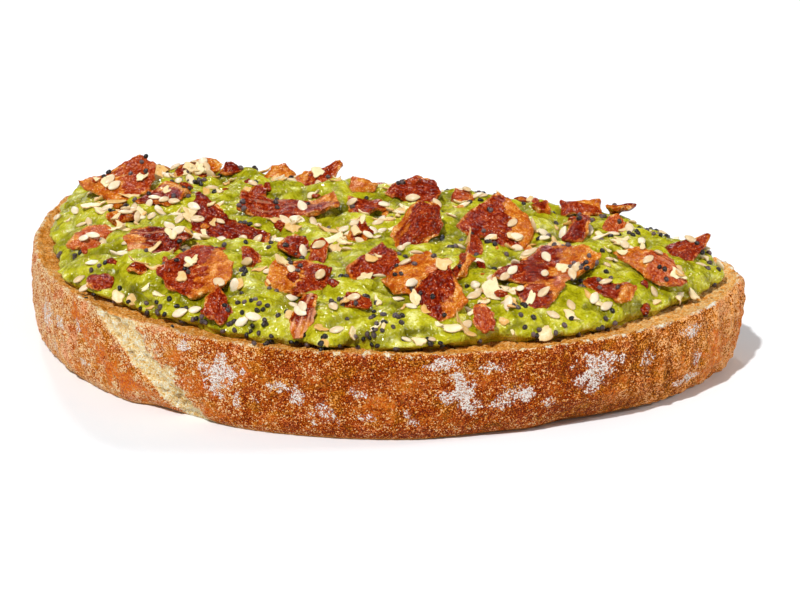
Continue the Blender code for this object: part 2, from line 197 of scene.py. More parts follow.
def set_values(mesh, **named):
    """Store named numbers, one for each vertex, for the material to read."""
    for name, values in named.items():
        layer = mesh.attributes.new(name, "FLOAT", "POINT")
        layer.data.foreach_set("value", np.asarray(values, np.float32))


def set_places(mesh, name, places):
    """Store one place for each vertex, for the material's noise to follow."""
    layer = mesh.attributes.new(name, "FLOAT_VECTOR", "POINT")
    layer.data.foreach_set("vector", np.asarray(places, np.float32).ravel())


def read(mesh, field="co"):
    """The mesh's points, or another field of three numbers for each, as an array."""
    values = np.zeros(len(mesh.vertices) * 3, np.float32)
    mesh.vertices.foreach_get(field, values)
    return values.reshape(-1, 3).astype(float)


def write(mesh, points):
    mesh.vertices.foreach_set("co", np.asarray(points, np.float32).ravel())
    mesh.update()


def tree_of(*meshes):
    """Tree for casting rays at the meshes."""
    points, faces = [], []
    for mesh in meshes:
        start = len(points)
        points += [v.co.copy() for v in mesh.vertices]
        faces += [[start + i for i in face.vertices] for face in mesh.polygons]
    return BVHTree.FromPolygons(points, faces)


def evened(mesh, voxel, soften=0):
    """The mesh built again in even cells, its corners softened."""
    scratch = new_object("scratch", mesh)
    even = scratch.modifiers.new("even", "REMESH")
    even.mode = "VOXEL"
    even.voxel_size = voxel
    if soften:
        smooth = scratch.modifiers.new("soften", "SMOOTH")
        smooth.factor = 0.5
        smooth.iterations = soften
    graph = bpy.context.evaluated_depsgraph_get()
    result = bpy.data.meshes.new_from_object(scratch.evaluated_get(graph))
    bpy.data.objects.remove(scratch)
    return result


def welded(mesh):
    """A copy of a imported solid's mesh with its split corners joined."""
    bm = bmesh.new()
    bm.from_mesh(mesh)
    bmesh.ops.remove_doubles(bm, verts=bm.verts, dist=1e-6)
    copy = bpy.data.meshes.new("welded")
    bm.to_mesh(copy)
    bm.free()
    return copy


# ---------------------------------------------------------------- materials

def colour(code):
    """Linear colour for a web colour code."""
    channels = [int(code[i:i + 2], 16) / 255 for i in (1, 3, 5)]
    return (*[c / 12.92 if c <= 0.04045 else ((c + 0.055) / 1.055) ** 2.4 for c in channels], 1)


class Graph:
    """A material's nodes, built by short calls that take and return sockets or numbers."""

    def __init__(self, name):
        self.material = bpy.data.materials.new(name)
        self.material.use_nodes = True
        self.tree = self.material.node_tree
        self.shader = self.tree.nodes["Principled BSDF"]
        self.place = self.add("ShaderNodeTexCoord").outputs["Object"]

    def add(self, kind, sockets=(), **settings):
        """A node with those settings, and those values or links by socket."""
        node = self.tree.nodes.new(kind)
        for key, value in settings.items():
            setattr(node, key, value)
        for key, value in dict(sockets).items():
            self.put(node.inputs[key], value)
        return node

    def put(self, socket, value):
        if isinstance(value, bpy.types.NodeSocket):
            self.tree.links.new(value, socket)
        else:
            socket.default_value = value

    def set(self, **values):
        """Set the shader's sockets: Base_Color=..., Roughness=..."""
        for key, value in values.items():
            self.put(self.shader.inputs[key.replace("_", " ")], value)

    def attribute(self, name, output="Fac"):
        return self.add("ShaderNodeAttribute", attribute_name=name).outputs[output]

    def noise(self, size, detail, place=None, distortion=0.0):
        sockets = {"Vector": place or self.place, "Scale": 1 / size, "Detail": detail,
                   "Roughness": 0.55, "Distortion": distortion}
        return self.add("ShaderNodeTexNoise", sockets).outputs["Fac"]

    def grains(self, size, output="Distance"):
        """Grains: the distance to the middle of each, or its own random Color."""
        sockets = {"Vector": self.place, "Scale": 1 / size}
        return self.add("ShaderNodeTexVoronoi", sockets).outputs[output]

    def total(self, start, *parts):
        """Start plus each (value, weight) pair, every value counted from its middle, 0.5."""
        for value, weight in parts:
            centred = self.math("SUBTRACT", value, 0.5)
            start = self.math("ADD", start, self.math("MULTIPLY", centred, weight))
        return start

    def math(self, operation, *values):
        return self.add("ShaderNodeMath", enumerate(values), operation=operation).outputs[0]

    def rise(self, value, low, high, start=0.0, end=1.0):
        """From start to end, smoothly, as the value goes from low to high."""
        sockets = enumerate((value, low, high, start, end))
        return self.add("ShaderNodeMapRange", sockets, interpolation_type="SMOOTHSTEP").outputs[0]

    def mix(self, part, first, second, blend="MIX"):
        sockets = {0: part, 6: first, 7: second}
        return self.add("ShaderNodeMix", sockets, data_type="RGBA", blend_type=blend).outputs[2]

    def over(self, surface, code, value, low, high, most=1.0, blend="MIX"):
        """The surface under a colour that comes in as the value goes from low to high."""
        cover = self.rise(value, low, high, 0, most)
        return self.mix(cover, surface, colour(code), blend)

    def ramp(self, value, *stops):
        node = self.add("ShaderNodeValToRGB")
        band = node.color_ramp.elements
        for place, code in stops[len(band):]:
            band.new(place)
        for element, (place, code) in zip(band, stops):
            element.position = place
            element.color = colour(code)
        self.put(node.inputs[0], value)
        return node.outputs["Color"]

    def bump(self, height, distance):
        sockets = {"Height": height, "Distance": distance}
        return self.add("ShaderNodeBump", sockets).outputs["Normal"]


def bread_material():
    g = Graph("bread")
    fine = g.noise(0.38 * MM, 1)
    finest = g.noise(0.23 * MM, 1)
    coarse = g.noise(1.3 * MM, 2)
    broad = g.noise(6 * MM, 2)
    speck = g.grains(0.32 * MM, "Color")
    # browned crust: dark and bright grains on a broad change of bake
    level = g.math("MULTIPLY_ADD", g.attribute("bake"), 0.9, 0.19)
    bake = g.total(level, (fine, 0.5), (finest, 2.6), (coarse, 1.0), (broad, 0.7))
    bake = g.math("SUBTRACT", bake, g.rise(speck, 0.6, 0.78, 0, 0.5))
    golden = g.rise(g.attribute("golden"), 0.5, 0.7)
    grit = g.math("SUBTRACT", g.noise(0.33 * MM, 1), 0.5)
    rough = g.math("MAXIMUM", g.math("MULTIPLY", golden, 3.0), g.rise(level, 0.3, 0.1, 0, 1.6))
    bake = g.math("MULTIPLY_ADD", grit, rough, bake)
    crust = g.ramp(bake, (0.0, "#FCDCAC"), (0.1, "#F0B468"), (0.26, "#E0862A"), (0.42, "#CC660C"),
                   (0.56, "#BA5000"), (0.7, "#A63C00"), (0.86, "#8C2A00"), (1.0, "#601A00"))
    # patches of a redder and of a more golden brown
    patch = g.noise(3.2 * MM, 2, distortion=0.6)
    crust = g.over(crust, "#B4502C", patch, 0.52, 0.68, 0.4, "COLOR")
    crust = g.over(crust, "#C87A10", patch, 0.46, 0.34, 0.5, "COLOR")
    crust = g.mix(g.math("MULTIPLY", golden, 0.45), crust, colour("#C87410"), "COLOR")
    glow = g.total(g.attribute("glow"), (fine, 1.0), (coarse, 1.6), (broad, 0.8))
    ember = g.total(0.5, (fine, 1.6), (finest, 2.2))
    ember = g.ramp(ember, (0.1, "#B83A00"), (0.5, "#E0640C"), (0.9, "#F8A040"))
    crust = g.mix(g.rise(glow, 0.15, 0.9, 0, 0.85), crust, ember)
    # painted glints: bright tan dots that stand in for highlights on the blisters
    painted_glints = g.total(g.rise(g.grains(0.75 * MM), 0.24, 0.12), (coarse, 1.5))
    crust = g.over(crust, "#E8B478", painted_glints, 0.85, 1.15, 0.7)
    # toasted crumb
    toast = g.total(g.attribute("golden"), (fine, 1.2), (speck, 0.5), (coarse, 0.8), (broad, 0.5))
    crumb = g.ramp(toast, (0.1, "#B4620C"), (0.35, "#E48C28"), (0.6, "#FCB254"), (0.9, "#FFD898"))
    # painted shade: the toasted crumb is darkened in its pores, where shade falls
    crumb = g.mix(g.attribute("pore_shade"), crumb, colour("#A4601A"))
    surface = g.mix(g.attribute("crumb"), crust, crumb)
    # pale crumb in the baker's cut
    pale = g.ramp(toast, (0.1, "#D89C44"), (0.35, "#F6D088"), (0.6, "#FFECBC"), (0.9, "#FFFCEC"))
    # painted shade: the pale crumb of the cut is darkened in its pores
    pale = g.mix(g.attribute("pore_shade"), pale, colour("#CC9440"))
    cut = g.total(g.attribute("cut"), (fine, 0.7), (coarse, 0.9))
    surface = g.mix(g.rise(cut, 0.25, 0.65), surface, pale)
    # flour, broken up by the grain of the crust
    flour = g.attribute("flour")
    grain = g.total(0, (fine, 2.6), (finest, 1.6), (speck, 0.7), (coarse, 1.0))
    dust = g.math("ADD", flour, g.math("MULTIPLY", grain, g.rise(flour, 0.02, 0.3)))
    surface = g.over(surface, "#BC8468", dust, 0.1, 0.55, 0.4)
    powder = g.total(0.5, (fine, 1.2), (finest, 2.6))
    powder = g.ramp(powder, (0.2, "#A8785E"), (0.45, "#F6E2D4"), (0.7, "#FFF8F0"))
    surface = g.mix(g.rise(dust, 0.48, 0.72, 0, 0.95), surface, powder)
    relief = g.total(0.5, (fine, 0.6), (finest, 0.8), (speck, 0.3), (coarse, 0.6))
    g.set(Base_Color=surface, Roughness=g.rise(fine, 0.35, 0.65, 0.32, 0.55),
          Normal=g.bump(relief, 0.6 * MM), Specular_IOR_Level=0.05, Subsurface_Weight=0.05,
          Subsurface_Radius=(1.0, 0.5, 0.25), Subsurface_Scale=1.0 * MM)
    return g.material


def avocado_material():
    g = Graph("avocado")
    fine = g.noise(0.5 * MM, 1)
    middle = g.noise(1.8 * MM, 2)
    broad = g.noise(6 * MM, 2)
    tone = g.total(0.52, (broad, 1.0), (middle, 0.9), (fine, 0.5))
    flesh = g.ramp(tone, (0.15, "#7E7A04"), (0.4, "#A6A00E"), (0.65, "#C4BE2C"), (0.9, "#EAE690"))
    # painted shade: the flesh darkens in the creases between the lumps
    flesh = g.mix(g.attribute("hollow"), flesh, colour("#5A5604"))
    # painted sparkle: pale dots that stand in for wet highlights
    painted_sparkle = g.total(g.rise(g.grains(0.7 * MM), 0.26, 0.12), (middle, 2.2))
    flesh = g.over(flesh, "#FAF6C4", painted_sparkle, 0.95, 1.2, 0.7)
    relief = g.total(0.5, (fine, 0.25), (g.noise(1.0 * MM, 1), 1.0))
    g.set(Base_Color=flesh, Roughness=g.rise(middle, 0.35, 0.65, 0.08, 0.22),
          Normal=g.bump(relief, 0.5 * MM), Specular_IOR_Level=0.35, Subsurface_Weight=0.15,
          Subsurface_Radius=(1.0, 0.9, 0.25), Subsurface_Scale=1.2 * MM)
    return g.material


def bacon_material():
    """Each vertex says its tone, 0 dark red to 1 orange, and how much is fat and streak."""
    g = Graph("bacon")
    fine = g.noise(0.4 * MM, 1)
    finest = g.noise(0.26 * MM, 1)
    blotch = g.noise(2.2 * MM, 2)
    # wrinkles run along each bit
    wrinkle = g.noise(0.55 * MM, 2, place=g.attribute("grain", "Vector"))
    tone = g.math("SUBTRACT", g.attribute("tone"), 0.09)
    tone = g.total(tone, (blotch, 0.7), (wrinkle, 0.7), (fine, 0.3), (finest, 0.6))
    speck = g.rise(g.grains(0.32 * MM, "Color"), 0.62, 0.8, 0, 0.24)
    tone = g.math("ADD", tone, speck)
    meat = g.ramp(tone, (0.0, "#5C0800"), (0.25, "#8A2002"), (0.5, "#B04414"), (0.75, "#CC6E38"),
                  (1.0, "#EAA878"))
    fat = g.total(g.attribute("fat"), (blotch, 0.8), (fine, 0.25))
    shine = g.total(0.36, (blotch, 1.5), (wrinkle, 0.6), (fine, 0.3), (finest, 0.5))
    shine = g.math("ADD", shine, speck)
    tallow = g.ramp(shine, (0.1, "#A84408"), (0.4, "#CA6C16"), (0.65, "#E0963A"), (0.95, "#F8D49C"))
    surface = g.mix(g.rise(fat, 0.3, 0.7), meat, tallow)
    surface = g.mix(g.attribute("streak"), surface, colour("#D8946A"))
    # painted glints: pale pink dots that stand in for sparkling highlights on the grain
    painted_glints = g.total(g.rise(g.grains(0.55 * MM), 0.30, 0.14), (blotch, 1.2), (g.noise(0.9 * MM, 1), 1.0))
    surface = g.over(surface, "#F6C8A0", painted_glints, 0.85, 1.1, 0.7)
    relief = g.total(0.5, (wrinkle, 1.2), (fine, 0.2), (g.noise(0.9 * MM, 1), 0.7))
    g.set(Base_Color=surface, Roughness=g.rise(fine, 0.35, 0.65, 0.1, 0.24),
          Normal=g.bump(relief, 0.45 * MM), Specular_IOR_Level=0.25, Subsurface_Weight=0.12,
          Subsurface_Radius=(1.0, 0.3, 0.1), Subsurface_Scale=0.8 * MM)
    return g.material


def seed_material(name, dark, light, roughness, grain, depth, toasted=None):
    """Small dry pieces: each has its own shade, from dark to light, and maybe toasted edges."""
    g = Graph(name)
    fine = g.noise(grain, 2)
    shade = g.total(g.attribute("shade"), (fine, 0.9))
    surface = g.mix(g.math("MAXIMUM", g.math("MINIMUM", shade, 1), 0), colour(dark), colour(light))
    if toasted:
        edge = g.total(g.attribute("edge"), (g.noise(0.8 * MM, 2), 1.6))
        surface = g.over(surface, toasted, edge, 0.75, 1.15, 0.8)
    g.set(Base_Color=surface, Roughness=roughness, Normal=g.bump(fine, depth),
          Subsurface_Weight=0.15, Subsurface_Radius=(1.0, 0.7, 0.4), Subsurface_Scale=0.5 * MM)
    return g.material


# ---------------------------------------------------------------- bread

# One spot on the crust: where it is, in degrees round the slice from +X and in millimetres
# of height, its reach along and up the wall in millimetres, and its strength
Spot = namedtuple("Spot", "turn height along up strength")
DUSTINGS = [Spot(*row) for row in (
    (-164, 9.1, 2.4, 2, 0.9), (-161, 11, 1.6, 1.6, 0.6), (-156, 10, 1.2, 1, 0.8),
    (-149, 11.8, 1, 1.3, 0.7), (-147.5, 5, 1.2, 0.8, 0.8), (-159, 4.3, 2, 1.2, 0.5),
    (-119, 15.4, 1.3, 1.5, 0.75), (-110, 11.6, 3.2, 2.6, 1), (-110.5, 8.5, 2, 2, 0.9),
    (-106, 6.1, 0.7, 1.5, 0.6), (-101.5, 7.3, 0.6, 0.9, 0.6), (-94, 10, 1.7, 1, 0.8),
    (-91, 8.4, 1.2, 1.7, 0.8), (-84.5, 5.5, 2.2, 2, 0.5), (-76, 9.7, 1.6, 1, 0.45),
    (-74, 5.2, 2, 0.8, 0.4), (-64.5, 6.1, 0.7, 0.9, 0.6), (-63, 4.3, 1.1, 0.9, 0.85),
    (-56.5, 15.8, 2.6, 1.3, 0.85), (-52, 11.2, 1.8, 3.2, 1), (-55.5, 9.7, 1.7, 1.3, 0.7),
    (-50, 7.3, 3.6, 1.4, 0.6), (-45.5, 14.6, 2.1, 0.9, 0.6), (-38.5, 8.5, 2.1, 1.6, 1),
    (-42, 8.5, 3.2, 2.2, 0.45), (-34.5, 6.7, 1.3, 0.9, 0.5), (-26, 11.2, 3, 3.4, 0.85),
    (-23.5, 14, 2.1, 1.3, 0.6), (-20.5, 13.4, 1.1, 0.9, 0.5), (-15.5, 12, 1.6, 2, 0.4),
    (-7, 14.6, 2.6, 1.1, 0.6), (-7, 4.9, 3, 1.1, 0.7), (-5, 8, 0.9, 2, 0.5),
    # round the back
    (20, 9, 3, 4, 0.8), (48, 12, 4, 2, 0.8), (75, 7, 3, 3, 0.9), (92, 12, 4.4, 2.4, 0.7),
    (120, 8, 3, 3.6, 0.9), (145, 13, 3.4, 1.8, 0.7), (165, 6, 2.6, 3.4, 0.8), (178, 12, 2, 3, 0.8),
    (34, 5, 1.4, 1.6, 0.6), (62, 14, 2.2, 0.9, 0.6), (70, 10.5, 1.2, 1, 0.6), (86, 4.6, 1.6, 0.9, 0.7),
    (89, 10.4, 0.9, 1.6, 0.6), (99, 6.5, 1.2, 1.2, 0.7), (108, 13.8, 1.8, 1, 0.6),
    (113, 5.2, 1, 0.8, 0.6), (128, 11.5, 1.1, 1.5, 0.7), (138, 5, 2.4, 1, 0.5), (153, 10, 1, 1.2, 0.6),
)]

# Where the crust glows orange
GLOWS = [Spot(*row) for row in (
    (-150, 14.4, 2.6, 1.8, 0.9), (-147, 12, 2.2, 2.2, 1), (-143, 9, 2.2, 2.4, 0.9),
    (-139, 6.2, 2.6, 2.6, 1), (-134, 4.6, 3, 2.4, 1), (-129, 2.6, 3.2, 1.8, 0.8),
    (-151, 3, 3, 1.2, 0.4), (-121, 12.5, 1.6, 2.4, 0.7), (-124, 15.2, 2.2, 1.2, 0.7),
    (-118, 8.5, 2.6, 5, 0.6), (-114, 3.2, 4, 1.6, 0.6), (-104, 12.5, 3, 3, 0.5),
    (-99, 3.4, 3, 1.4, 0.5), (-86, 12, 3, 2.5, 0.4), (-71, 7.5, 4, 3, 0.6), (-64, 12, 4, 2, 0.5),
    (-58, 4.2, 4, 1.6, 0.4), (-47, 12.4, 2.6, 1.4, 0.5), (-33, 10, 2.4, 2.4, 0.3),
    (-21, 6.4, 2.6, 3, 0.5), (-14, 8.6, 2.6, 4, 0.5), (-9, 7.5, 2, 4, 0.5), (-1, 9, 5, 7, 0.6),
    (9, 9, 5, 7, 0.5), (40, 9, 4, 3, 0.6), (80, 10, 5, 3, 0.5), (110, 6, 5, 3, 0.5),
    (150, 9, 4, 3, 0.5),
)]

# How brown the crust is round the slice: degrees from +X, and 0 pale to 1 dark
BROWNING = ((-180, 0.02), (-172, 0.00), (-165, 0.01), (-158, 0.05), (-152, 0.12), (-145, 0.17),
            (-138, 0.19), (-130, 0.20), (-122, 0.30), (-112, 0.42), (-105, 0.50), (-98, 0.58),
            (-90, 0.60), (-82, 0.64), (-60, 0.63), (-45, 0.64), (-30, 0.70), (-22, 0.70),
            (-14, 0.64), (-8, 0.54), (-3, 0.36), (2, 0.20), (8, 0.16), (30, 0.38), (60, 0.55),
            (100, 0.50), (140, 0.38), (165, 0.12), (180, 0.02))


def reach_round(tree, middle, turns, spread):
    """How far a solid reaches from its middle in each direction, smoothed."""
    ways = [Vector((math.cos(turn), math.sin(turn), 0)) for turn in turns]
    return blurred(np.array([tree.ray_cast(middle, way)[3] for way in ways]), spread, 0, True)


def walked_along(line):
    """Length of the line up to each of its points."""
    return np.concatenate([[0], np.cumsum(np.linalg.norm(np.diff(line, axis=0), axis=1))])


def slice_outline(tree):
    """Even points round the slice's widest line, and their outward directions."""
    low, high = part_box("bread_slice")
    middle = (low + high) / 2
    turns = np.linspace(0, math.tau, 2 * COLUMNS, endpoint=False) + math.pi / 2
    reach = reach_round(tree, middle, turns, 10)
    rough = np.stack([middle.x + reach * np.cos(turns), middle.y + reach * np.sin(turns)], 1)
    closed = np.vstack([rough, rough[:1]])
    walked = walked_along(closed)
    steps = np.linspace(0, walked[-1], COLUMNS, endpoint=False)
    spots = np.stack([np.interp(steps, walked, closed[:, i]) for i in (0, 1)], 1)
    ahead = np.roll(spots, -2, 0) - np.roll(spots, 2, 0)
    outward = np.stack([ahead[:, 1], -ahead[:, 0]], 1)
    return spots, outward / np.linalg.norm(outward, axis=1, keepdims=True)


def wall_insets(tree, spots, outward, heights):
    """How far the solid's wall lies inside the widest line, for each column and height."""
    insets = np.zeros((len(spots), len(heights)))
    for i, (spot, way) in enumerate(zip(spots - outward * PROBE, outward)):
        aim = Vector((*way, 0))
        for j, height in enumerate(heights):
            hit = tree.ray_cast(Vector((*spot, height)), aim)
            insets[i, j] = PROBE - hit[3] if hit[0] else PROBE
    return blurred(blurred(insets, 5, 0, True), 1.2, 1)


def rim_rows():
    """Insets and heights over the rim, at even steps that grow towards the crumb."""
    line = np.array(RIM) * MM
    walked = walked_along(line)
    steps, step = [CELL], CELL
    while steps[-1] < walked[-1]:
        step = CELL if steps[-1] < FINE_RIM else step * 1.05
        steps.append(steps[-1] + step)
    insets = blurred(np.interp(steps, walked, line[:, 0]), 1.5, 0)
    heights = blurred(np.interp(steps, walked, line[:, 1]), 1.5, 0)
    return insets, heights


def bread_grid(tree):
    """Points of the wall, rim and bare crumb, by column and row, without fine relief."""
    spots, outward = slice_outline(tree)
    heights = np.arange(FIRST_ROW, WALL_TOP, CELL)
    insets = wall_insets(tree, spots, outward, heights)
    rim_inset, rim_height = rim_rows()
    # the rim follows the top of the wall, less and less over the first 4 mm inwards
    shift = insets[:, -1:] - RIM[0][0] * MM
    over = rim_inset[None] + shift * rise(4 * MM, 0, rim_inset[None])
    foot = insets[:, :1] + FOOT_DRAWN_IN
    insets = np.concatenate([foot, insets, over], 1)
    heights = np.concatenate([[0], heights, rim_height])
    flat = spots[:, None] - outward[:, None] * insets[..., None]
    grid = np.concatenate([flat, np.broadcast_to(heights[None, :, None], (*insets.shape, 1))], 2)
    return grid, insets


def grid_normals(grid):
    along = np.roll(grid, -1, 0) - np.roll(grid, 1, 0)
    up = np.gradient(grid, axis=1)
    normals = np.cross(along, up)
    return normals / np.maximum(np.linalg.norm(normals, axis=2, keepdims=True), 1e-12)


def filled(points, ring, cell, start):
    """Plan points inside a ring of points, about one cell apart, and triangles over it all.

    The new points are numbered from start.
    """
    loop = points[ring, :2]
    centre = loop.mean(0)
    turns = np.arctan2(*(loop - centre).T[::-1])
    order = np.argsort(turns)
    reach = np.linalg.norm(loop - centre, axis=1)
    low, high = loop.min(0), loop.max(0)
    x, y = np.meshgrid(np.arange(low[0], high[0], cell), np.arange(low[1], high[1], cell * 0.87))
    x[1::2] += cell / 2
    inner = np.stack([x.ravel(), y.ravel()], 1)
    away = inner - centre
    limit = np.interp(np.arctan2(away[:, 1], away[:, 0]), turns[order], reach[order], period=math.tau)
    inner = inner[np.linalg.norm(away, axis=1) < limit - 0.8 * cell]
    plan = [Vector(p) for p in np.vstack([loop, inner])]
    made = delaunay_2d_cdt(plan, [], [list(range(len(loop)))], 1, 1e-9)
    number = np.concatenate([ring, start + np.arange(len(inner))])
    source = [ids[0] for ids in made[3]]
    return inner, [[number[source[i]] for i in face] for face in made[2]]


class Crust:
    """What shows at each point of the wall, the rim and the bare ring of crumb."""

    def __init__(self, points, inset):
        x, y, z = points.T
        self.points, self.inset, self.z = points, inset, z
        self.turn = np.degrees(np.arctan2(y, x))
        self.front = rise(5 * MM, -5 * MM, y)
        self.mark_cut(x, z)
        ragged = inset + waves(points, 1.5, 5) * 0.3 * MM
        crumb = rise(0.75 * MM, 1.3 * MM, ragged) * (z > CRUMB_LEVEL)
        self.crumb = np.maximum(crumb, inset > 1.4 * MM) * (z > 15 * MM)
        self.cut *= 1 - self.crumb
        self.wall = 1 - self.crumb
        # wrinkles at 45 degrees towards the -X end, and deep folds at the +X end
        slanted = np.stack([x + z * 1.01, y, z], 1)
        self.left = self.front * rise(-25 * MM, -45 * MM, x)
        self.wrinkles = waves(slanted, (1.9, 1.9, 11), 7)
        self.right = rise(48 * MM, 62 * MM, x)
        self.folds = 0.45 - np.abs(waves(points, (4.2, 4.2, 13), 10))
        # open crumb: on the ring inside the rim and in the baker's cut
        self.open_crumb = np.maximum(self.crumb, self.cut)
        self.pores = (rise(0.42, 0.16, cells(points, 2.4, 2)) * 0.8
                      + rise(0.40, 0.15, cells(points, 1.1, 3)) * 0.5)

    def mark_cut(self, x, z):
        """The baker's cut, with a golden fringe of pale strands on its +X side."""
        middle = CUT_FOOT_X + (CUT_TOP_X - CUT_FOOT_X) * z / SLICE_TOP
        wander = waves(self.points, 5, 3) * 0.9 * MM + waves(self.points, 1.6, 4) * 0.5 * MM
        across = (x - middle) * 0.75 + wander
        half = np.interp(z, (0, CRUMB_LEVEL), CUT_HALF_WIDTHS)
        cut = self.front * rise(half + 0.9 * MM, half - 0.9 * MM, np.abs(across))
        fringe = rise((2 + 0.32 * z / MM) * MM, 0, across - half) * (across > 0) * self.front
        strands = 0.28 + 0.3 * rise(-0.1, 0.35, waves(self.points, (2.6, 2.6, 1.3), 17))
        self.cut = np.maximum(cut, fringe * strands)
        self.beside = np.abs(across) - half

    def relief(self):
        """How far each point is pushed out of the smooth slice, in millimetres."""
        points, wall, right = self.points, self.wall, self.right
        lift = 0.30 * waves(points, 15, 1) + 0.12 * waves(points, 5, 2)
        blisters = 0.16 * (0.6 - cells(points, 1.0, 1)) + 0.10 * waves(points, 0.9, 6)
        lift += wall * blisters
        lift += wall * self.left * (0.36 * self.wrinkles + 0.16 * waves(points, 1.2, 28))
        lift += wall * right * (self.folds + 0.24 * waves(points, (1.3, 1.3, 6), 11))
        lift += wall * right * 0.30 * waves(points, 1.1, 26)
        rough = 0.22 * waves(points, 1.0, 12) + 0.10 * waves(points, 0.5, 13)
        lift += self.open_crumb * (rough - 0.7 * self.pores)
        lift -= self.cut * 0.35
        # raised lips along the baker's cut
        lips = self.front * rise(1.4 * MM, 0.2 * MM, np.abs(self.beside - 0.5 * MM)) * wall
        lift += 0.28 * lips
        # ragged crest
        crest = rise(1.3 * MM, 0.2 * MM, np.abs(self.inset - 1.4 * MM)) * (self.z > 16 * MM)
        lift += crest * (0.25 * waves(points, 3.2, 14) + 0.22 * waves(points, 1.2, 15))
        return lift * rise(0, 1.2 * MM, self.z)

    def bake(self):
        """How brown: by place round the slice, mottled, paler at the rim and on the ridges of the
        folds, with painted shade in the folds' creases.
        """
        points, wall, right = self.points, self.wall, self.right
        bake = np.interp(self.turn, *np.array(BROWNING).T) + 0.08 * waves(points, 7, 16)
        bake += 0.12 * waves(points, 2.2, 18) * wall
        bake -= 0.30 * rise(0.9 * MM, 0.1 * MM, SLICE_TOP - self.z) * wall
        bake -= 0.12 * rise(1.2 * MM, 0.2 * MM, self.z)
        bake -= 0.14 * self.left * rise(0.15, 0.6, self.wrinkles)
        lines = 0.16 * waves(points, (1.6, 1.6, 5), 29)
        bake -= right * (0.22 * rise(0.1, 0.4, self.folds) + lines)
        patches = 0.18 * waves(points, 5, 30)
        # painted shade: the creases of the folds at the +X end are darkened
        bake += right * (patches + 0.30 * rise(0.1, -0.3, self.folds) - 0.06)
        return bake

    def looks(self):
        """Name and values of each number that the bread's material reads."""
        crest = rise(0.7 * MM, 0.15 * MM, np.abs(self.inset - 0.95 * MM)) * (self.z > 16.6 * MM)
        broken = rise(-0.35, 0.35, waves(self.points, 2.4, 19))
        cut = np.maximum(self.cut, 0.5 * crest * broken)
        bare = self.wall * rise(0.5, 0.2, cut)
        return {
            "bake": self.bake(), "crumb": self.crumb + rise(0.5 * MM, 0, self.z), "cut": cut,
            "flour": spots_on(self.points, self.turn, DUSTINGS) * bare,
            "glow": spots_on(self.points, self.turn, GLOWS) * bare,
            # the +X end has toasted to a lighter, yellower brown
            "golden": 0.5 + 0.22 * rise(45, 5, np.abs(self.turn - 5)),
            # how much painted shade darkens the pores of the open crumb
            "pore_shade": self.open_crumb * np.clip(self.pores, 0, 1) * 0.6,
        }


def spots_on(points, turn, spots):
    """How strongly the listed spots cover each point of the wall. Their edges are ragged."""
    cover = np.zeros(len(points))
    ragged = waves(points, 2.2, 8) * 0.5 + waves(points, 0.9, 9) * 0.45
    for spot in spots:
        gap = (turn - spot.turn + 180) % 360 - 180
        radius = np.hypot(points[:, 0], points[:, 1])
        along = np.radians(gap) * radius / (spot.along * MM)
        up = (points[:, 2] - spot.height * MM) / (spot.up * MM)
        near = 1 - np.hypot(along, up) * 0.62 + ragged
        cover = np.maximum(cover, spot.strength * rise(0.1, 0.85, near))
    return cover


def make_bread(material):
    grid, insets = bread_grid(tree_of(bpy.data.objects["bread_slice"].data))
    columns, rows = insets.shape
    crust = Crust(grid.reshape(-1, 3), insets.ravel())
    normals = grid_normals(grid).reshape(-1, 3)
    made = crust.points + normals * (crust.relief() * MM)[:, None]
    made[:, 2] = np.maximum(made[:, 2], 0)

    index = np.arange(columns * rows).reshape(columns, rows)
    after = np.roll(index, -1, 0)
    quads = np.stack([index[:, :-1], after[:, :-1], after[:, 1:], index[:, 1:]], 2)
    faces = quads.transpose(1, 0, 2).reshape(-1, 4).tolist()
    under, triangles = filled(made, index[:, 0], UNDERSIDE_CELL, len(made))
    faces += [triangle[::-1] for triangle in triangles]
    pits = rise(0.5, 0.2, cells(np.c_[under, np.zeros(len(under))], 3.2, 4)) * 0.5 * MM
    over, triangles = filled(made, index[:, -1], HIDDEN_CELL, len(made) + len(under))
    faces += triangles
    level = np.full(len(over), made[index[:, -1], 2].mean())

    everything = np.concatenate([made, np.c_[under, pits], np.c_[over, level]])
    piece = new_piece("toasted_bread", everything, faces, material, ["bread_slice"])
    # nothing but crumb shows on the underside and below the mash, with a little painted shade in its
    # pores
    plain = {"bake": 0.5, "crumb": 1, "golden": 0.5, "pore_shade": 0.1}
    spare = len(under) + len(over)
    for name, values in crust.looks().items():
        rest = np.full(spare, plain.get(name, 0))
        set_values(piece.data, **{name: np.clip(np.concatenate([values, rest]), 0, 1)})
    return piece


# ---------------------------------------------------------------- bacon

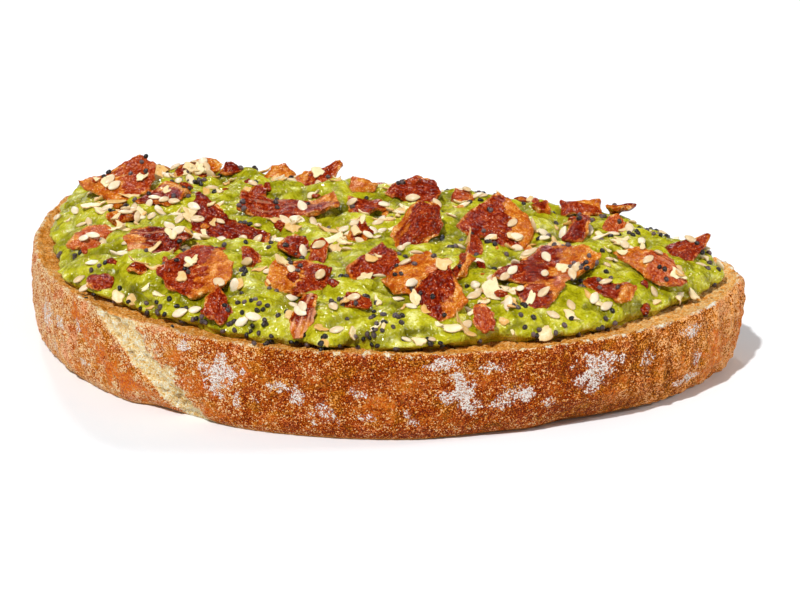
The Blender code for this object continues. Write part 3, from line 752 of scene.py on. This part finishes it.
# How a bit looks: its tone from 0, dark red, to 1, orange; the side where its fat is, in
# degrees from +X seen from above; how much of it is fat; and how streaky its meat is
Look = namedtuple("Look", "tone side fat streaks", defaults=(0, 0, 0))
BACON_LOOKS = [Look(*row) for row in (
    (0.3, 90, 0.3), (0.5, 215, 0.55), (0.35, 90, 0.4), (0.2,), (0.2, 180, 0.3), (0.65, 180, 0.2),
    (0.18, 225, 0.25, 0.6), (0.22,), (0.34,), (0.22,), (0.34, 0, 0.38), (0.32,), (0.36,), (0.34,),
    (1, 0, 1), (0.4, 180, 0.3), (0.28, 60, 0.2, 0.5), (0.34,), (0.85, 0, 0.6), (0.3,), (0.28, 170, 0.3),
    (0.5, 0, 0.2, 0.5), (0.34, 270, 0.2), (0.26,), (0.45,), (0.3, 190, 0.45), (0.24, 270, 0.3, 1),
    (0.34, 180, 0.15), (0.38,), (0.22, 340, 0.3), (0.8, 200, 0.7), (0.45,), (0.28, 0, 0.3), (0.38,),
    (0.32, 20, 0.32), (0.34, 0, 0.35), (0.36, 90, 0.3), (0.24,), (0.6,), (0.25, 5, 0.45), (0.3,),
    (0.55, 180, 0.45, 0.5), (0.26, 0, 0.3), (0.3, 40, 0.4), (0.3,), (0.3, 0, 0.3), (0.55, 180, 0.4),
    (0.26, 90, 0.3), (0.36,), (0.3, 180, 0.3),
)]


def own_axes(points):
    """Middle, and length, width and thickness directions, of a flat bit."""
    middle = points.mean(0)
    _, _, axes = np.linalg.svd(points - middle, full_matrices=False)
    return middle, axes


def nearest_gap(points, marked):
    """Distance from every point to the nearest marked one."""
    tree = kdtree.KDTree(len(marked))
    for i, spot in enumerate(marked):
        tree.insert(spot, i)
    tree.balance()
    return np.array([tree.find(p)[2] for p in points])


def bacon_relief(points, normals, axes, middle, gap, bead, seed):
    """Ripples along the meat, a pebbled face, thin curled edges that are torn, in metres."""
    local = (points - middle) @ axes.T
    side = normals @ axes[2]
    shifted = local + seed * 13.7 * MM
    ripple = 0.34 * waves(shifted, (6, 2.4, 9), 1)
    fibre = 0.16 * waves(shifted, (3.4, 0.9, 9), 2)
    face = ripple + fibre + 0.08 * waves(points, 0.9, 7)
    thin = 0.18 * rise(1.2 * MM, 0.2 * MM, gap)
    sideways = normals - side[:, None] * axes[2]
    torn = 0.45 * waves(points, 2.2, 3) + 0.26 * waves(points, 0.9, 4)
    curl = rise(2.6 * MM, 0, gap) * 0.85 * waves(shifted, 4.5, 5)
    up = 1 if axes[2][2] > 0 else -1
    face += 0.4 * bead - thin
    move = side * np.abs(side) ** 0.5 * face + 0.3 * waves(shifted, 5, 6) + up * (curl + 0.1)
    return (axes[2] * move[:, None] + sideways * torn[:, None]) * MM


def make_bacon_bit(number, look, material):
    node = f"bacon_{number:02d}"
    mesh = evened(welded(bpy.data.objects[node].data), BACON_VOXEL, 4)
    points, normals = read(mesh), read(mesh, "normal")
    middle, axes = own_axes(points)
    side_walls = np.abs(normals @ axes[2]) < 0.45
    gap = nearest_gap(points, points[side_walls])
    way = np.array((math.cos(math.radians(look.side)), math.sin(math.radians(look.side))))
    along = (points - middle)[:, :2] @ way
    place = (along - along.min()) / max(np.ptp(along), 1e-9)
    # thick bead of fat along part of the fat side
    bead = rise(1.5 * MM, 0.5 * MM, gap) * rise(-0.1, 0.35, waves(points, 6, number + 20))
    bead *= rise(0.35, 0.65, place) * (look.fat > 0)
    write(mesh, points + bacon_relief(points, normals, axes, middle, gap, bead, number))
    local = (points - middle) @ axes.T
    strands = waves(local + number * MM, (5, 1.1, 4), 8)
    ragged = waves(points, 2.5, number) * 0.16 + strands * 0.16
    fat = rise(1 - look.fat - 0.2, 1 - look.fat + 0.2, place + ragged) if look.fat else place * 0
    rim = rise(0.7, 0.15, gap / MM + waves(points, 2.5, number + 50) * 0.6)
    fat = np.maximum(fat, np.maximum(rim * 0.55, bead * 0.75))
    lines = waves(local + number * MM, (5, 0.55, 4), 7)
    streak = look.streaks * rise(0.15, 0.5, lines) * 0.8
    piece = as_piece(node + "_crisp", mesh, material, [node])
    set_values(piece.data, tone=np.full(len(points), look.tone), fat=fat, streak=streak)
    set_places(piece.data, "grain", local * WRINKLES + number * 9 * MM)
    return piece


# ---------------------------------------------------------------- mashed avocado

class Heap:
    """Level of the mash over the slice, with a dent round every bit that is pressed in."""

    def __init__(self, bacon_tree):
        tree = tree_of(bpy.data.objects["avocado_mash"].data)
        self.low, self.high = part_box("avocado_mash")
        self.turns = np.linspace(-math.pi, math.pi, 721)
        start = Vector((*HEAP_CENTRE, self.low.z + 0.25 * MM))
        self.reach = reach_round(tree, start, self.turns, 2)
        self.x = np.arange(self.low.x - 2 * MM, self.high.x + 2 * MM, HEAP_CELL)
        self.y = np.arange(self.low.y - 2 * MM, self.high.y + 2 * MM, HEAP_CELL)
        self.level = self.dented(self.free_level(), bacon_tree)

    def reach_at(self, turn):
        return np.interp(turn, self.turns, self.reach)

    def free_level(self):
        """The heap as it would be without the bits."""
        x, y = np.meshgrid(self.x, self.y, indexing="ij")
        away_x, away_y = x - HEAP_CENTRE.x, y - HEAP_CENTRE.y
        ratio = np.hypot(away_x, away_y) / self.reach_at(np.arctan2(away_y, away_x))
        backward = np.clip((y - FRONT_LINE) / (BACK_LINE - FRONT_LINE), 0, 1)
        depth = FRONT_DEPTH + (BACK_DEPTH - FRONT_DEPTH) * backward
        swells = [noise.noise(Vector((a / SWELL_SIZE, b / SWELL_SIZE, 1))) +
                  0.6 * noise.noise(Vector((a / SWELL_SIZE / 2, b / SWELL_SIZE / 2, 5)))
                  for a, b in zip(x.ravel(), y.ravel())]
        depth += SWELL * np.array(swells).reshape(x.shape)
        depth *= 1 - SLOPE_DROP * np.clip((y - SLOPE_START) / SLOPE_LENGTH, 0, 1) ** 2
        return CRUMB_LEVEL + depth * (1 - np.clip(ratio, 0, 1) ** EDGE_POWER) ** 0.6

    def dented(self, level, bacon_tree):
        """Lowered round the bits, so that none is buried deeper than its seat."""
        under = np.full(level.shape, np.inf)
        for i, x in enumerate(self.x):
            for j, y in enumerate(self.y):
                hit = bacon_tree.ray_cast(Vector((x, y, CRUMB_LEVEL)), UP)[0]
                if hit:
                    under[i, j] = hit.z + SEAT
        limit = under.copy()
        for di in range(-DENT_STEPS, DENT_STEPS + 1):
            for dj in range(-DENT_STEPS, DENT_STEPS + 1):
                climb = math.hypot(di, dj) * HEAP_CELL * DENT_SLOPE
                limit = np.minimum(limit, np.roll(under, (di, dj), (0, 1)) + climb)
        return blurred(blurred(np.minimum(level, limit), 0.8, 0), 0.8, 1)

    def level_at(self, x, y):
        """Level at plan points, read from the grid."""
        a = np.clip((x - self.x[0]) / HEAP_CELL, 0, len(self.x) - 1.001)
        b = np.clip((y - self.y[0]) / HEAP_CELL, 0, len(self.y) - 1.001)
        i, j = a.astype(int), b.astype(int)
        a, b = a - i, b - j
        near = self.level[i, j] * (1 - a) + self.level[i + 1, j] * a
        far = self.level[i, j + 1] * (1 - a) + self.level[i + 1, j + 1] * a
        return near * (1 - b) + far * b

    def solid(self):
        """Closed mesh of the heap: a grid spread to its edge, with a skirt into the crumb."""
        across = int((self.high.x - self.low.x) / HEAP_GRID)
        along = int((self.high.y - self.low.y) / HEAP_GRID)
        u, v = np.meshgrid(np.linspace(-1, 1, across), np.linspace(-1, 1, along), indexing="ij")
        disc_x, disc_y = u * np.sqrt(1 - v * v / 2), v * np.sqrt(1 - u * u / 2)
        reach = self.reach_at(np.arctan2(disc_y, disc_x))
        x, y = HEAP_CENTRE.x + disc_x * reach, HEAP_CENTRE.y + disc_y * reach
        z = self.level_at(x, y)
        points = np.stack([x, y, z], 2).reshape(-1, 3)
        index = np.arange(across * along).reshape(across, along)
        faces = np.stack([index[:-1, :-1], index[1:, :-1], index[1:, 1:], index[:-1, 1:]], 2)
        rim = np.concatenate([index[:-1, 0], index[-1, :-1], index[:0:-1, -1], index[0, :0:-1]])
        skirt = points[rim].copy()
        skirt[:, 2] = CRUMB_LEVEL - SKIRT
        foot = len(points) + np.arange(len(rim))
        sides = np.stack([foot, np.roll(foot, -1), np.roll(rim, -1), rim], 1)
        mesh = bpy.data.meshes.new("heap")
        every = faces.reshape(-1, 4).tolist() + sides.tolist() + [foot[::-1].tolist()]
        mesh.from_pydata(np.vstack([points, skirt]).tolist(), [], every)
        return mesh


def domes(points, size, seed):
    """Round lumps, 1 at their tops, that meet in sharp creases."""
    return np.sqrt(1 - np.clip(cells(points, size, seed) / 0.85, 0, 1) ** 2)


def lumps(points):
    """Height of the mash's lumps, in millimetres, and how much painted shade darkens each place, most
    in the creases.
    """
    bent = points + np.stack([waves(points, 6, s) for s in (21, 22, 23)], 1) * 1.4 * MM
    big = domes(bent, (6.8, 6.0, 5), 24)
    middle = domes(bent, (3.4, 3.0, 2.6), 25)
    small = domes(points, 1.5, 6)
    height = 1.8 * big + 1.5 * middle + 0.4 * small - 2.7
    # painted shade, strongest in the creases where the domes meet
    hollow = rise(0.75, 0.35, big) * 0.55 + rise(0.75, 0.35, middle) * 0.55
    return height, np.minimum(hollow, 0.9)


def bulged(points, heap):
    """Pushed out over the crumb part way up the heap's edge, and drawn in at its foot."""
    away = points[:, :2] - np.array(HEAP_CENTRE)
    far = np.linalg.norm(away, axis=1)
    edge = rise(0.86, 0.97, far / heap.reach_at(np.arctan2(away[:, 1], away[:, 0])))
    level = (points[:, 2] - CRUMB_LEVEL) / MM
    lobes = waves(points * (1, 1, 0), 5.5, 41) + 0.4 * waves(points * (1, 1, 0), 2.6, 42)
    swell = BULGE + LOBE * lobes
    push = edge * (swell * rise(0.3, 1.8, level) - FOOT_INSET * rise(1.3, 0.1, level))
    points[:, :2] += away * (push / np.maximum(far, 1e-9))[:, None]
    return points


def make_avocado(heap, bacon_tree, material):
    mesh = evened(heap.solid(), COARSE_VOXEL)
    points, normals = read(mesh), read(mesh, "normal")
    height = lumps(points)[0]
    write(mesh, bulged(points + normals * (height * MM)[:, None], heap))
    mesh = evened(mesh, HEAP_VOXEL, 1)
    points, normals = read(mesh), read(mesh, "normal")
    fine = 0.11 * waves(points, 1.3, 27)
    points += normals * (fine * MM)[:, None]
    # no lump rises past the seat of the bit above it
    for i, (x, y, z) in enumerate(points):
        hit = bacon_tree.ray_cast(Vector((x, y, CRUMB_LEVEL - 1 * MM)), UP)[0]
        if hit and z > hit.z + SEAT:
            points[i, 2] = hit.z + SEAT
    write(mesh, points)
    # the buried lumpy bottom gives way to a flat one
    bm = bmesh.new()
    bm.from_mesh(mesh)
    deep = CRUMB_LEVEL - SKIRT / 2
    buried = [f for f in bm.faces if f.normal.z < -0.8 and f.calc_center_median().z < deep]
    bmesh.ops.delete(bm, geom=buried, context="FACES")
    bmesh.ops.holes_fill(bm, edges=[e for e in bm.edges if e.is_boundary])
    bmesh.ops.triangulate(bm, faces=[f for f in bm.faces if len(f.verts) > 4])
    bm.to_mesh(mesh)
    bm.free()
    piece = as_piece("mashed_avocado", mesh, material, ["avocado_mash"])
    set_values(piece.data, hollow=lumps(read(mesh))[1])
    return piece


# ---------------------------------------------------------------- seeds, flakes and crumbs

# How many of each are scattered at random, beside the ones listed and piled below
SESAME_COUNT = 125
POPPY_COUNT = 190
POPPY_FRONT_COUNT = 60
FLAKE_COUNT = 140
CRUMB_COUNT = 46
POPPY_LOWEST = 17.1 * MM         # none lies on the bare crumb or the crust

# Where some of the sesame seeds lie, x and y in millimetres
SESAME_SPOTS = (
    (-55, 10.5), (-48, -2.5), (-45, 6.5), (-45.5, 4.5), (-43, 6), (-43.5, 0), (-41, 6.5), (-39, 1.5),
    (-37, 1), (-34, -11.5), (-28.5, -2.5), (-41, 27), (-39.5, 25.5), (-52, -11), (-50, -10.5),
    (-45, -17.5), (-43, -18.5), (-33, -3), (-27.5, -6), (-34, -7.5), (-25.5, 29.5), (-24, 23.5),
    (-12, 5.5), (-15, 3.5), (-16.5, 2), (-18, -3), (-14, -9), (-9, -11), (-7.5, -24), (-6.5, -27.5),
    (-1, -8), (-5, 3.5), (-5.5, 11.5), (0.5, 13.5), (-23, -5), (7, -32), (4, -35), (8.5, -19.5),
    (9, -2.5), (13.5, -19.5), (-10.5, -38), (18.5, -37), (4.5, 20.5), (15, 20), (25, 2), (28, 7),
    (38, -7), (33, -11.5), (35, -19), (43, -23.5), (44, -11.5), (51.5, -15.5), (49, -15), (32, -28),
    (28, -30), (32, -15.5), (27, -18), (33, -14), (27.5, -22), (33.5, 10.5), (47, 12), (49, -3.5),
    (45.5, -19.5), (65, 9), (58, 1), (56.5, -1.5), (58.5, -5.5), (62, 14),
)

# Where seeds and flakes, and where poppy seeds, lie in piles: x and y in millimetres
SEED_PILES = ((-48, 2), (-33, -8), (32, -22), (51, 3), (-45, 24), (0, 2))
POPPY_PILES = ((-11, -36), (11, -36), (50, -10), (-50, 18), (24, -2))

# One flake: x, y, length and width in millimetres; heading in degrees; how far it curls
# along its length and is cupped across, as fractions; and its shade, 0 toasted to 1 pale
Flake = namedtuple("Flake", "x y length width heading curl cup shade")
FLAKES = [Flake(*row) for row in (
    (-57.5, 5, 4.6, 3.8, 20, 0.1, 0.2, 0.8), (-50, 13.5, 3.2, 2.2, 60, 0.3, 0.6, 0.95),
    (-54, 7.5, 4.4, 1.3, 10, 0.1, 0, 0.2), (-51, 9, 3.8, 1.5, 5, 0.2, 0, 0.35),
    (-52, -6, 5.2, 2.4, -8, 0.2, 0.3, 0.95), (-49, -5.5, 4.4, 3.4, 30, 0.5, 0.8, 0.85),
    (-43, -11, 5.4, 4.2, -20, 0.2, 0.7, 0.7), (-38, -16.5, 4.6, 1.6, 55, 0.8, 0.2, 0.45),
    (-50, -3, 2.8, 1.3, 70, 0.5, 0.3, 0.7), (-43.5, 25, 3.4, 2.4, -20, 0.3, 0.2, 0.6),
    (-34.5, -16.5, 4.2, 1.1, -40, 0.4, 0, 0.55), (-38, -24, 4.2, 1.2, 20, 0.3, 0, 0.2),
    (-26.5, -26.5, 3.6, 1.4, 75, 0.9, 0.2, 0.6), (-51, 26.5, 3.4, 2.6, 0, 0.2, 0.2, 0.15),
    (-18, 29.5, 3.2, 2.4, 80, 0.1, 0.2, 1), (-5, -4, 5, 3.8, 35, 0.5, 0.9, 0.95),
    (-3, 10, 2.6, 1.8, 15, 0.2, 0.2, 0.9), (-7.5, 1, 4.2, 2, 25, 0.4, 0.3, 0.3),
    (-18.5, 2.5, 4, 3, 40, 0.3, 0.4, 0.25), (18, -29, 3.4, 1.8, -60, 0.5, 0.4, 0.6),
    (6, -20.5, 3.2, 2, 60, 0.3, 0.3, 0.7), (13, -37, 3.6, 1.1, 60, 0.3, 0, 0.8),
    (19, 13, 3.4, 2.6, 10, 0.8, 0.8, 0.9), (3.5, 14.5, 3, 2.2, 0, 0.3, 0.2, 0.35),
    (14, 13.5, 3, 2.2, 40, 0.3, 0.4, 0.9), (29, 4, 3.4, 2.2, 50, 0.4, 0.4, 0.55),
    (29.5, -5, 3.6, 3.4, 100, 0.1, 0.1, 0.85), (30.5, -20, 5.2, 4.2, -15, 0.5, 0.6, 0.9),
    (34, -19.5, 3.6, 2.6, 30, 0.6, 0.5, 0.9), (42, -26, 4, 2.6, 70, 0.4, 0.6, 0.6),
    (46, -22, 3.2, 2.4, -30, 0.2, 0.4, 0.75), (35.5, -25, 3.4, 2, 80, 0.4, 0.3, 0.05),
    (28, -31.5, 4.8, 1.8, -15, 0.7, 0.4, 0.25), (26, -33, 4.2, 1.9, 10, 0.2, 0.3, 0.9),
    (62.5, -2.5, 3.8, 2, -25, 0.4, 0.4, 0.9), (65, 0.5, 3.4, 1.6, 10, 0.3, 0.3, 0.8),
    (51, 18, 4.8, 1.4, 10, 0.1, 0, 0.85), (13, 26, 3, 2.2, 40, 0.3, 0.3, 0.6),
    (-13, 12, 3.4, 2, -30, 0.3, 0.3, 0.9), (2, 8, 4, 1.2, 10, 0.2, 0, 0.3),
    (-14, -1, 3.6, 2.8, 10, 0.3, 0.3, 0.2), (-2, 5, 3.4, 1.4, 30, 0.3, 0.2, 0.25),
    (38, 3, 3.6, 2.8, 0, 0.3, 0.3, 0.3), (33, -2, 3.6, 1.2, 60, 0.2, 0, 0.5),
)]


def shape_of(bm):
    """Points and faces of a small mesh. No part of it counts as a toasted edge."""
    bm.verts.ensure_lookup_table()
    points = np.array([v.co[:] for v in bm.verts])
    faces = [[v.index for v in f.verts] for f in bm.faces]
    bm.free()
    return points, faces, np.zeros(len(points))


def sesame_shape():
    """Flat teardrop, 3 mm long, its point towards +X."""
    bm = bmesh.new()
    bmesh.ops.create_uvsphere(bm, u_segments=14, v_segments=9, radius=1)
    for vert in bm.verts:
        x, y, z = vert.co
        narrow = 1 - 0.46 * max(0, x) ** 1.4 - 0.08 * max(0, -x)
        vert.co = Vector((x * 1.52, y * 0.9 * narrow, z * 0.42 * narrow)) * MM
    return shape_of(bm)


def poppy_shape():
    """Kidney, 1.2 mm long."""
    bm = bmesh.new()
    bmesh.ops.create_icosphere(bm, subdivisions=2, radius=1)
    for vert in bm.verts:
        x, y, z = vert.co
        dent = 0.25 * max(0, y) * max(0, 1 - abs(x) * 1.3)
        vert.co = Vector((x * 0.61, (y - dent) * 0.52, z * 0.48)) * MM
    return shape_of(bm)


def crumb_shape(rng, size):
    """Broken lump, about `size` across."""
    bm = bmesh.new()
    bmesh.ops.create_icosphere(bm, subdivisions=3, radius=1)
    points, faces, edge = shape_of(bm)
    swell = 1 + 0.42 * unit_waves((points + rng.uniform(0, 40)) / 0.9, 3)
    swell += 0.16 * unit_waves(points / 0.4, 4)
    squash = np.array((1, rng.uniform(0.6, 0.9), 0.5))
    return points * swell[:, None] * size / 2 * squash, faces, edge


def flake_shape(rng, flake):
    """Thin broken chip of dried onion or garlic, curled and cupped."""
    around = 20
    turns = np.linspace(0, math.tau, around, endpoint=False)
    reach = 1 + 0 * turns
    for wave in (2, 3, 4, 5, 7):
        reach += rng.uniform(0.05, 0.5) / wave * np.cos(wave * turns + rng.uniform(0, math.tau))
    reach *= rng.uniform(0.9, 1.1, around)
    oval = np.stack([np.cos(turns) * flake.length, np.sin(turns) * flake.width], 1)
    rim = oval / 2 * MM * reach[:, None]
    rings = ((0.35, 1), (0.7, 1), (0.92, 0.8), (1, 0), (0.92, -0.8), (0.7, -1), (0.35, -1))
    half = 0.17 * MM
    points, edge = [(0, 0, half)], [0]
    for part, level in rings:
        points += [(x * part, y * part, level * half) for x, y in rim]
        edge += [part ** 3] * around
    points, edge = np.array(points + [(0, 0, -half)]), np.array(edge + [0])
    faces = [[0, 1 + i, 1 + (i + 1) % around] for i in range(around)]
    for ring in range(len(rings) - 1):
        a, b = 1 + ring * around, 1 + (ring + 1) * around
        faces += [[a + i, b + i, b + (i + 1) % around, a + (i + 1) % around] for i in range(around)]
    last = 1 + (len(rings) - 1) * around
    faces += [[last + (i + 1) % around, last + i, len(points) - 1] for i in range(around)]
    u, v = points[:, 0] / MM / flake.length * 2, points[:, 1] / MM / flake.width * 2
    arch = 1 if rng.random() < 0.35 else -1
    rise_by = flake.curl * u ** 2 * flake.length * 0.24 + arch * flake.cup * v ** 2 * flake.width * 0.24
    rise_by += 0.35 * rng.uniform(-1, 1) * u * v + 0.35 * waves(points + rng.uniform(0, 1), 1.6, 31)
    points[:, 2] += rise_by * MM
    return points, faces, edge


def any_flake(rng):
    """Size and form of a scattered flake: a chip, a broader chip, a sliver or a petal."""
    kind = rng.integers(4)
    petal = kind == 3
    length = rng.uniform(*((2.4, 3.8) if petal else (1.4, 3.2)))
    slim = [rng.uniform(*span) for span in ((0.5, 0.9), (0.55, 0.9), (0.25, 0.45), (0.6, 0.85))][kind]
    cup = 0.6 if petal else rng.uniform(0, 0.3)
    heading, curl, shade = rng.uniform(0, 360), rng.uniform(0, 0.7), rng.uniform(0, 1)
    return Flake(0, 0, length, length * slim, heading, curl, cup, shade)


def seated(shape, spot, normal, heading, tilt, size, sink):
    """A shape laid on a surface: turned, tilted, scaled and sunk in a little."""
    points, faces, edge = shape
    lean = normal.normalized().slerp(UP, 0.15) if normal.z > -0.9 else UP
    turn = UP.rotation_difference(lean).to_matrix() @ Matrix.Rotation(heading, 3, "Z")
    turn = turn @ Matrix.Rotation(tilt, 3, "Y")
    low = -np.percentile(points[:, 2], 15) * size
    where = spot + lean * (low - sink)
    return points * size @ np.array(turn).T + np.array(where), faces, edge


def joined(name, parts, shades, material):
    """One mesh piece of many small shapes, each with its own shade."""
    start, faces, shade = 0, [], []
    for (points, corners, _), value in zip(parts, shades):
        faces += [[start + i for i in face] for face in corners]
        shade += [value] * len(points)
        start += len(points)
    piece = new_piece(name, np.concatenate([part[0] for part in parts]), faces, material)
    set_values(piece.data, shade=shade, edge=np.concatenate([part[2] for part in parts]))
    return piece


class Ground:
    """What the seeds lie on: the mash and the bacon, and for listed places the bread too."""

    def __init__(self, avocado, bacon, bread):
        self.toppings = tree_of(avocado.data, *[bit.data for bit in bacon])
        self.toast = tree_of(avocado.data, bread.data, *[bit.data for bit in bacon])

    def top(self, x, y):
        """Surface under a plan position in millimetres."""
        return self.toast.ray_cast(Vector((x * MM, y * MM, 60 * MM)), -UP)[:2]

    def near(self, spot):
        return self.toast.find_nearest(spot)[:2]

    def struck(self, count, ray, least_up=-1):
        """Where random rays strike the toppings, on faces that look up at least so far."""
        found = []
        while len(found) < count:
            hit, normal = self.toppings.ray_cast(*ray())[:2]
            if hit is not None and normal.z >= least_up:
                found.append((hit, normal))
        return found

    def scatter(self, rng, count):
        """Random places open to the sky, on the slopes as well as on top."""
        def ray():
            turn = rng.uniform(0, math.tau)
            part = math.sqrt(rng.uniform(0, 1))
            out = Vector((math.cos(turn), math.sin(turn), 0)) * part
            # towards an oval at the height of the bits, a little larger than the heap
            aim = Vector((2 + 69 * out.x, 43 * out.y, 20)) * MM
            way = Vector((0.7 * out.x, 0.7 * out.y, 1)).normalized()
            return aim + way * 40 * MM, -way
        return self.struck(count, ray, least_up=0.05)

    def along_front(self, rng, count):
        """Random places at the foot of the heap, along the dome."""
        def ray():
            x, height = rng.uniform(-50, 60), rng.uniform(17.4, 20.5)
            return Vector((x, -60, height)) * MM, Vector((0, 1, -0.05)).normalized()
        return self.struck(count, ray)

    def heaped(self, rng, piles, spread, count):
        """Random places round the middle of each pile."""
        found = []
        for x, y in piles:
            found += [self.top(*rng.normal((x, y), spread)) for _ in range(count)]
        return [(hit, normal) for hit, normal in found if hit]


def make_sesame(ground, material):
    rng = np.random.default_rng(5)
    places = [ground.top(*spot) for spot in SESAME_SPOTS] + ground.scatter(rng, SESAME_COUNT)
    places += ground.heaped(rng, SEED_PILES, spread=2.6, count=5)
    shape = sesame_shape()
    parts = [seated(shape, spot, normal, rng.uniform(0, math.tau), rng.normal(0, 0.3),
                    rng.uniform(0.85, 1.1), sink=0.05 * MM) for spot, normal in places]
    return joined("sesame_seeds", parts, rng.uniform(0.1, 1, len(parts)), material)


def make_poppy(ground, material):
    rng = np.random.default_rng(6)
    shape, parts = poppy_shape(), []
    lone = ground.scatter(rng, POPPY_COUNT) + ground.along_front(rng, POPPY_FRONT_COUNT)
    for spot, normal in lone + ground.heaped(rng, POPPY_PILES, spread=3.5, count=4):
        crowd = rng.choice((1, 1, 1, 2, 3, 5))
        for _ in range(crowd):
            offset = Vector(rng.normal(0, 1.2 * MM, 3)) if crowd > 1 else Vector()
            place, facing = ground.near(spot + offset)
            if place.z >= POPPY_LOWEST:
                parts.append(seated(shape, place, facing, rng.uniform(0, math.tau),
                                    rng.normal(0, 0.4), rng.uniform(0.85, 1.08),
                                    sink=0.12 * MM))
    return joined("poppy_seeds", parts, rng.uniform(0, 1, len(parts)) ** 2, material)


def make_flakes(ground, material):
    rng = np.random.default_rng(7)
    parts, shades = [], []

    def lay(flake, spot, normal, tilt):
        heading = math.radians(flake.heading)
        shape = flake_shape(rng, flake)
        parts.append(seated(shape, spot, normal, heading, tilt, size=1, sink=0.05 * MM))
        shades.append(flake.shade)

    for flake in FLAKES:
        lay(flake, *ground.top(flake.x, flake.y), 0.1)
    scattered = ground.scatter(rng, FLAKE_COUNT)
    scattered += ground.heaped(rng, SEED_PILES, spread=2.8, count=6)
    for spot, normal in scattered:
        flake = any_flake(rng)
        lay(flake, spot, normal, rng.normal(0, 0.35))
    return joined("onion_flakes", parts, shades, material)


def make_bacon_crumbs(ground, material):
    rng = np.random.default_rng(8)
    parts = []
    for spot, normal in ground.scatter(rng, CRUMB_COUNT):
        shape = crumb_shape(rng, rng.uniform(0.9, 2.6) * MM)
        heading, tilt = rng.uniform(0, math.tau), rng.normal(0, 0.3)
        parts.append(seated(shape, spot, normal, heading, tilt, size=1, sink=0.2 * MM))
    piece = joined("bacon_crumbs", parts, rng.uniform(0, 1, len(parts)), material)
    shade = np.zeros(len(piece.data.vertices), np.float32)
    piece.data.attributes["shade"].data.foreach_get("value", shade)
    set_values(piece.data, tone=0.2 + 0.4 * shade, fat=shade > 0.75, streak=shade * 0)
    set_places(piece.data, "grain", read(piece.data) * WRINKLES)
    return piece


# ---------------------------------------------------------------- stage

def make_stage():
    floor_material = Graph("floor")
    floor_material.set(Base_Color=(0.88, 0.9, 0.92, 1), Roughness=0.9)
    mesh = bpy.data.meshes.new("floor")
    corners = [(x * FLOOR_REACH, y * FLOOR_REACH, 0) for x, y in ((-1, -1), (1, -1), (1, 1), (-1, 1))]
    mesh.from_pydata(corners, [], [(0, 1, 2, 3)])
    mesh.materials.append(floor_material.material)
    floor = new_object("floor", mesh)
    floor.location.z = -0.02 * MM        # clear of the underside


def direction(azimuth, elevation):
    """Unit vector for an azimuth from +X and an elevation, in degrees."""
    a, e = math.radians(azimuth), math.radians(elevation)
    return Vector((math.cos(a) * math.cos(e), math.sin(a) * math.cos(e), math.sin(e)))


def add_camera():
    camera = new_object("camera", bpy.data.cameras.new("camera"))
    back = direction(VIEW_AZIMUTH - 90, VIEW_ELEVATION)
    camera.location = AIM + back * VIEW_DISTANCE
    camera.rotation_euler = back.to_track_quat("Z", "Y").to_euler()
    camera.data.lens = LENS
    camera.data.sensor_width = 36
    camera.data.clip_start = 0.01
    bpy.context.scene.camera = camera


def add_lights():
    for name, (azimuth, elevation, strength, spread) in LIGHTS.items():
        light = new_object(name, bpy.data.lights.new(name, "SUN"))
        light.data.energy = strength
        light.data.angle = math.radians(spread)
        light.rotation_euler = direction(azimuth, elevation).to_track_quat("Z", "Y").to_euler()
    world = bpy.data.worlds.new("studio")
    world.use_nodes = True
    sky = world.node_tree.nodes["Background"]
    sky.inputs["Color"].default_value = (1, 1, 1, 1)
    sky.inputs["Strength"].default_value = SKY_STRENGTH
    bpy.context.scene.world = world
    world.cycles_visibility.glossy = False      # only the lamps and the floor show in the gloss
    bpy.context.scene.view_settings.view_transform = "Standard"


# ---------------------------------------------------------------- build

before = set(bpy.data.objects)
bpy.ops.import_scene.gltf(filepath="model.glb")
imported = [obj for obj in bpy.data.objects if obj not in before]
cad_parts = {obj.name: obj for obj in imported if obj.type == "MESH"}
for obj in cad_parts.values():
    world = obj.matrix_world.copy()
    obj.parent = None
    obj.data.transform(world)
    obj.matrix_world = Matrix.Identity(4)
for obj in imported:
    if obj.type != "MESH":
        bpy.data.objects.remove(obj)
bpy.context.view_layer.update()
add_camera()
add_lights()
make_stage()

bread = make_bread(bread_material())
crisp = bacon_material()
bacon = [make_bacon_bit(i + 1, look, crisp) for i, look in enumerate(BACON_LOOKS)]
bacon_tree = tree_of(*[bit.data for bit in bacon])
avocado = make_avocado(Heap(bacon_tree), bacon_tree, avocado_material())
ground = Ground(avocado, bacon, bread)
make_sesame(ground, seed_material("sesame", "#D6B684", "#F6E6C8", 0.35, 0.9 * MM, 0.08 * MM))
make_poppy(ground, seed_material("poppy", "#0E0605", "#6C5654", 0.32, 0.2 * MM, 0.12 * MM))
make_flakes(ground, seed_material("flakes", "#E0AC58", "#F6E8BA", 0.42, 0.8 * MM, 0.12 * MM, "#BC7422"))
make_bacon_crumbs(ground, crisp)
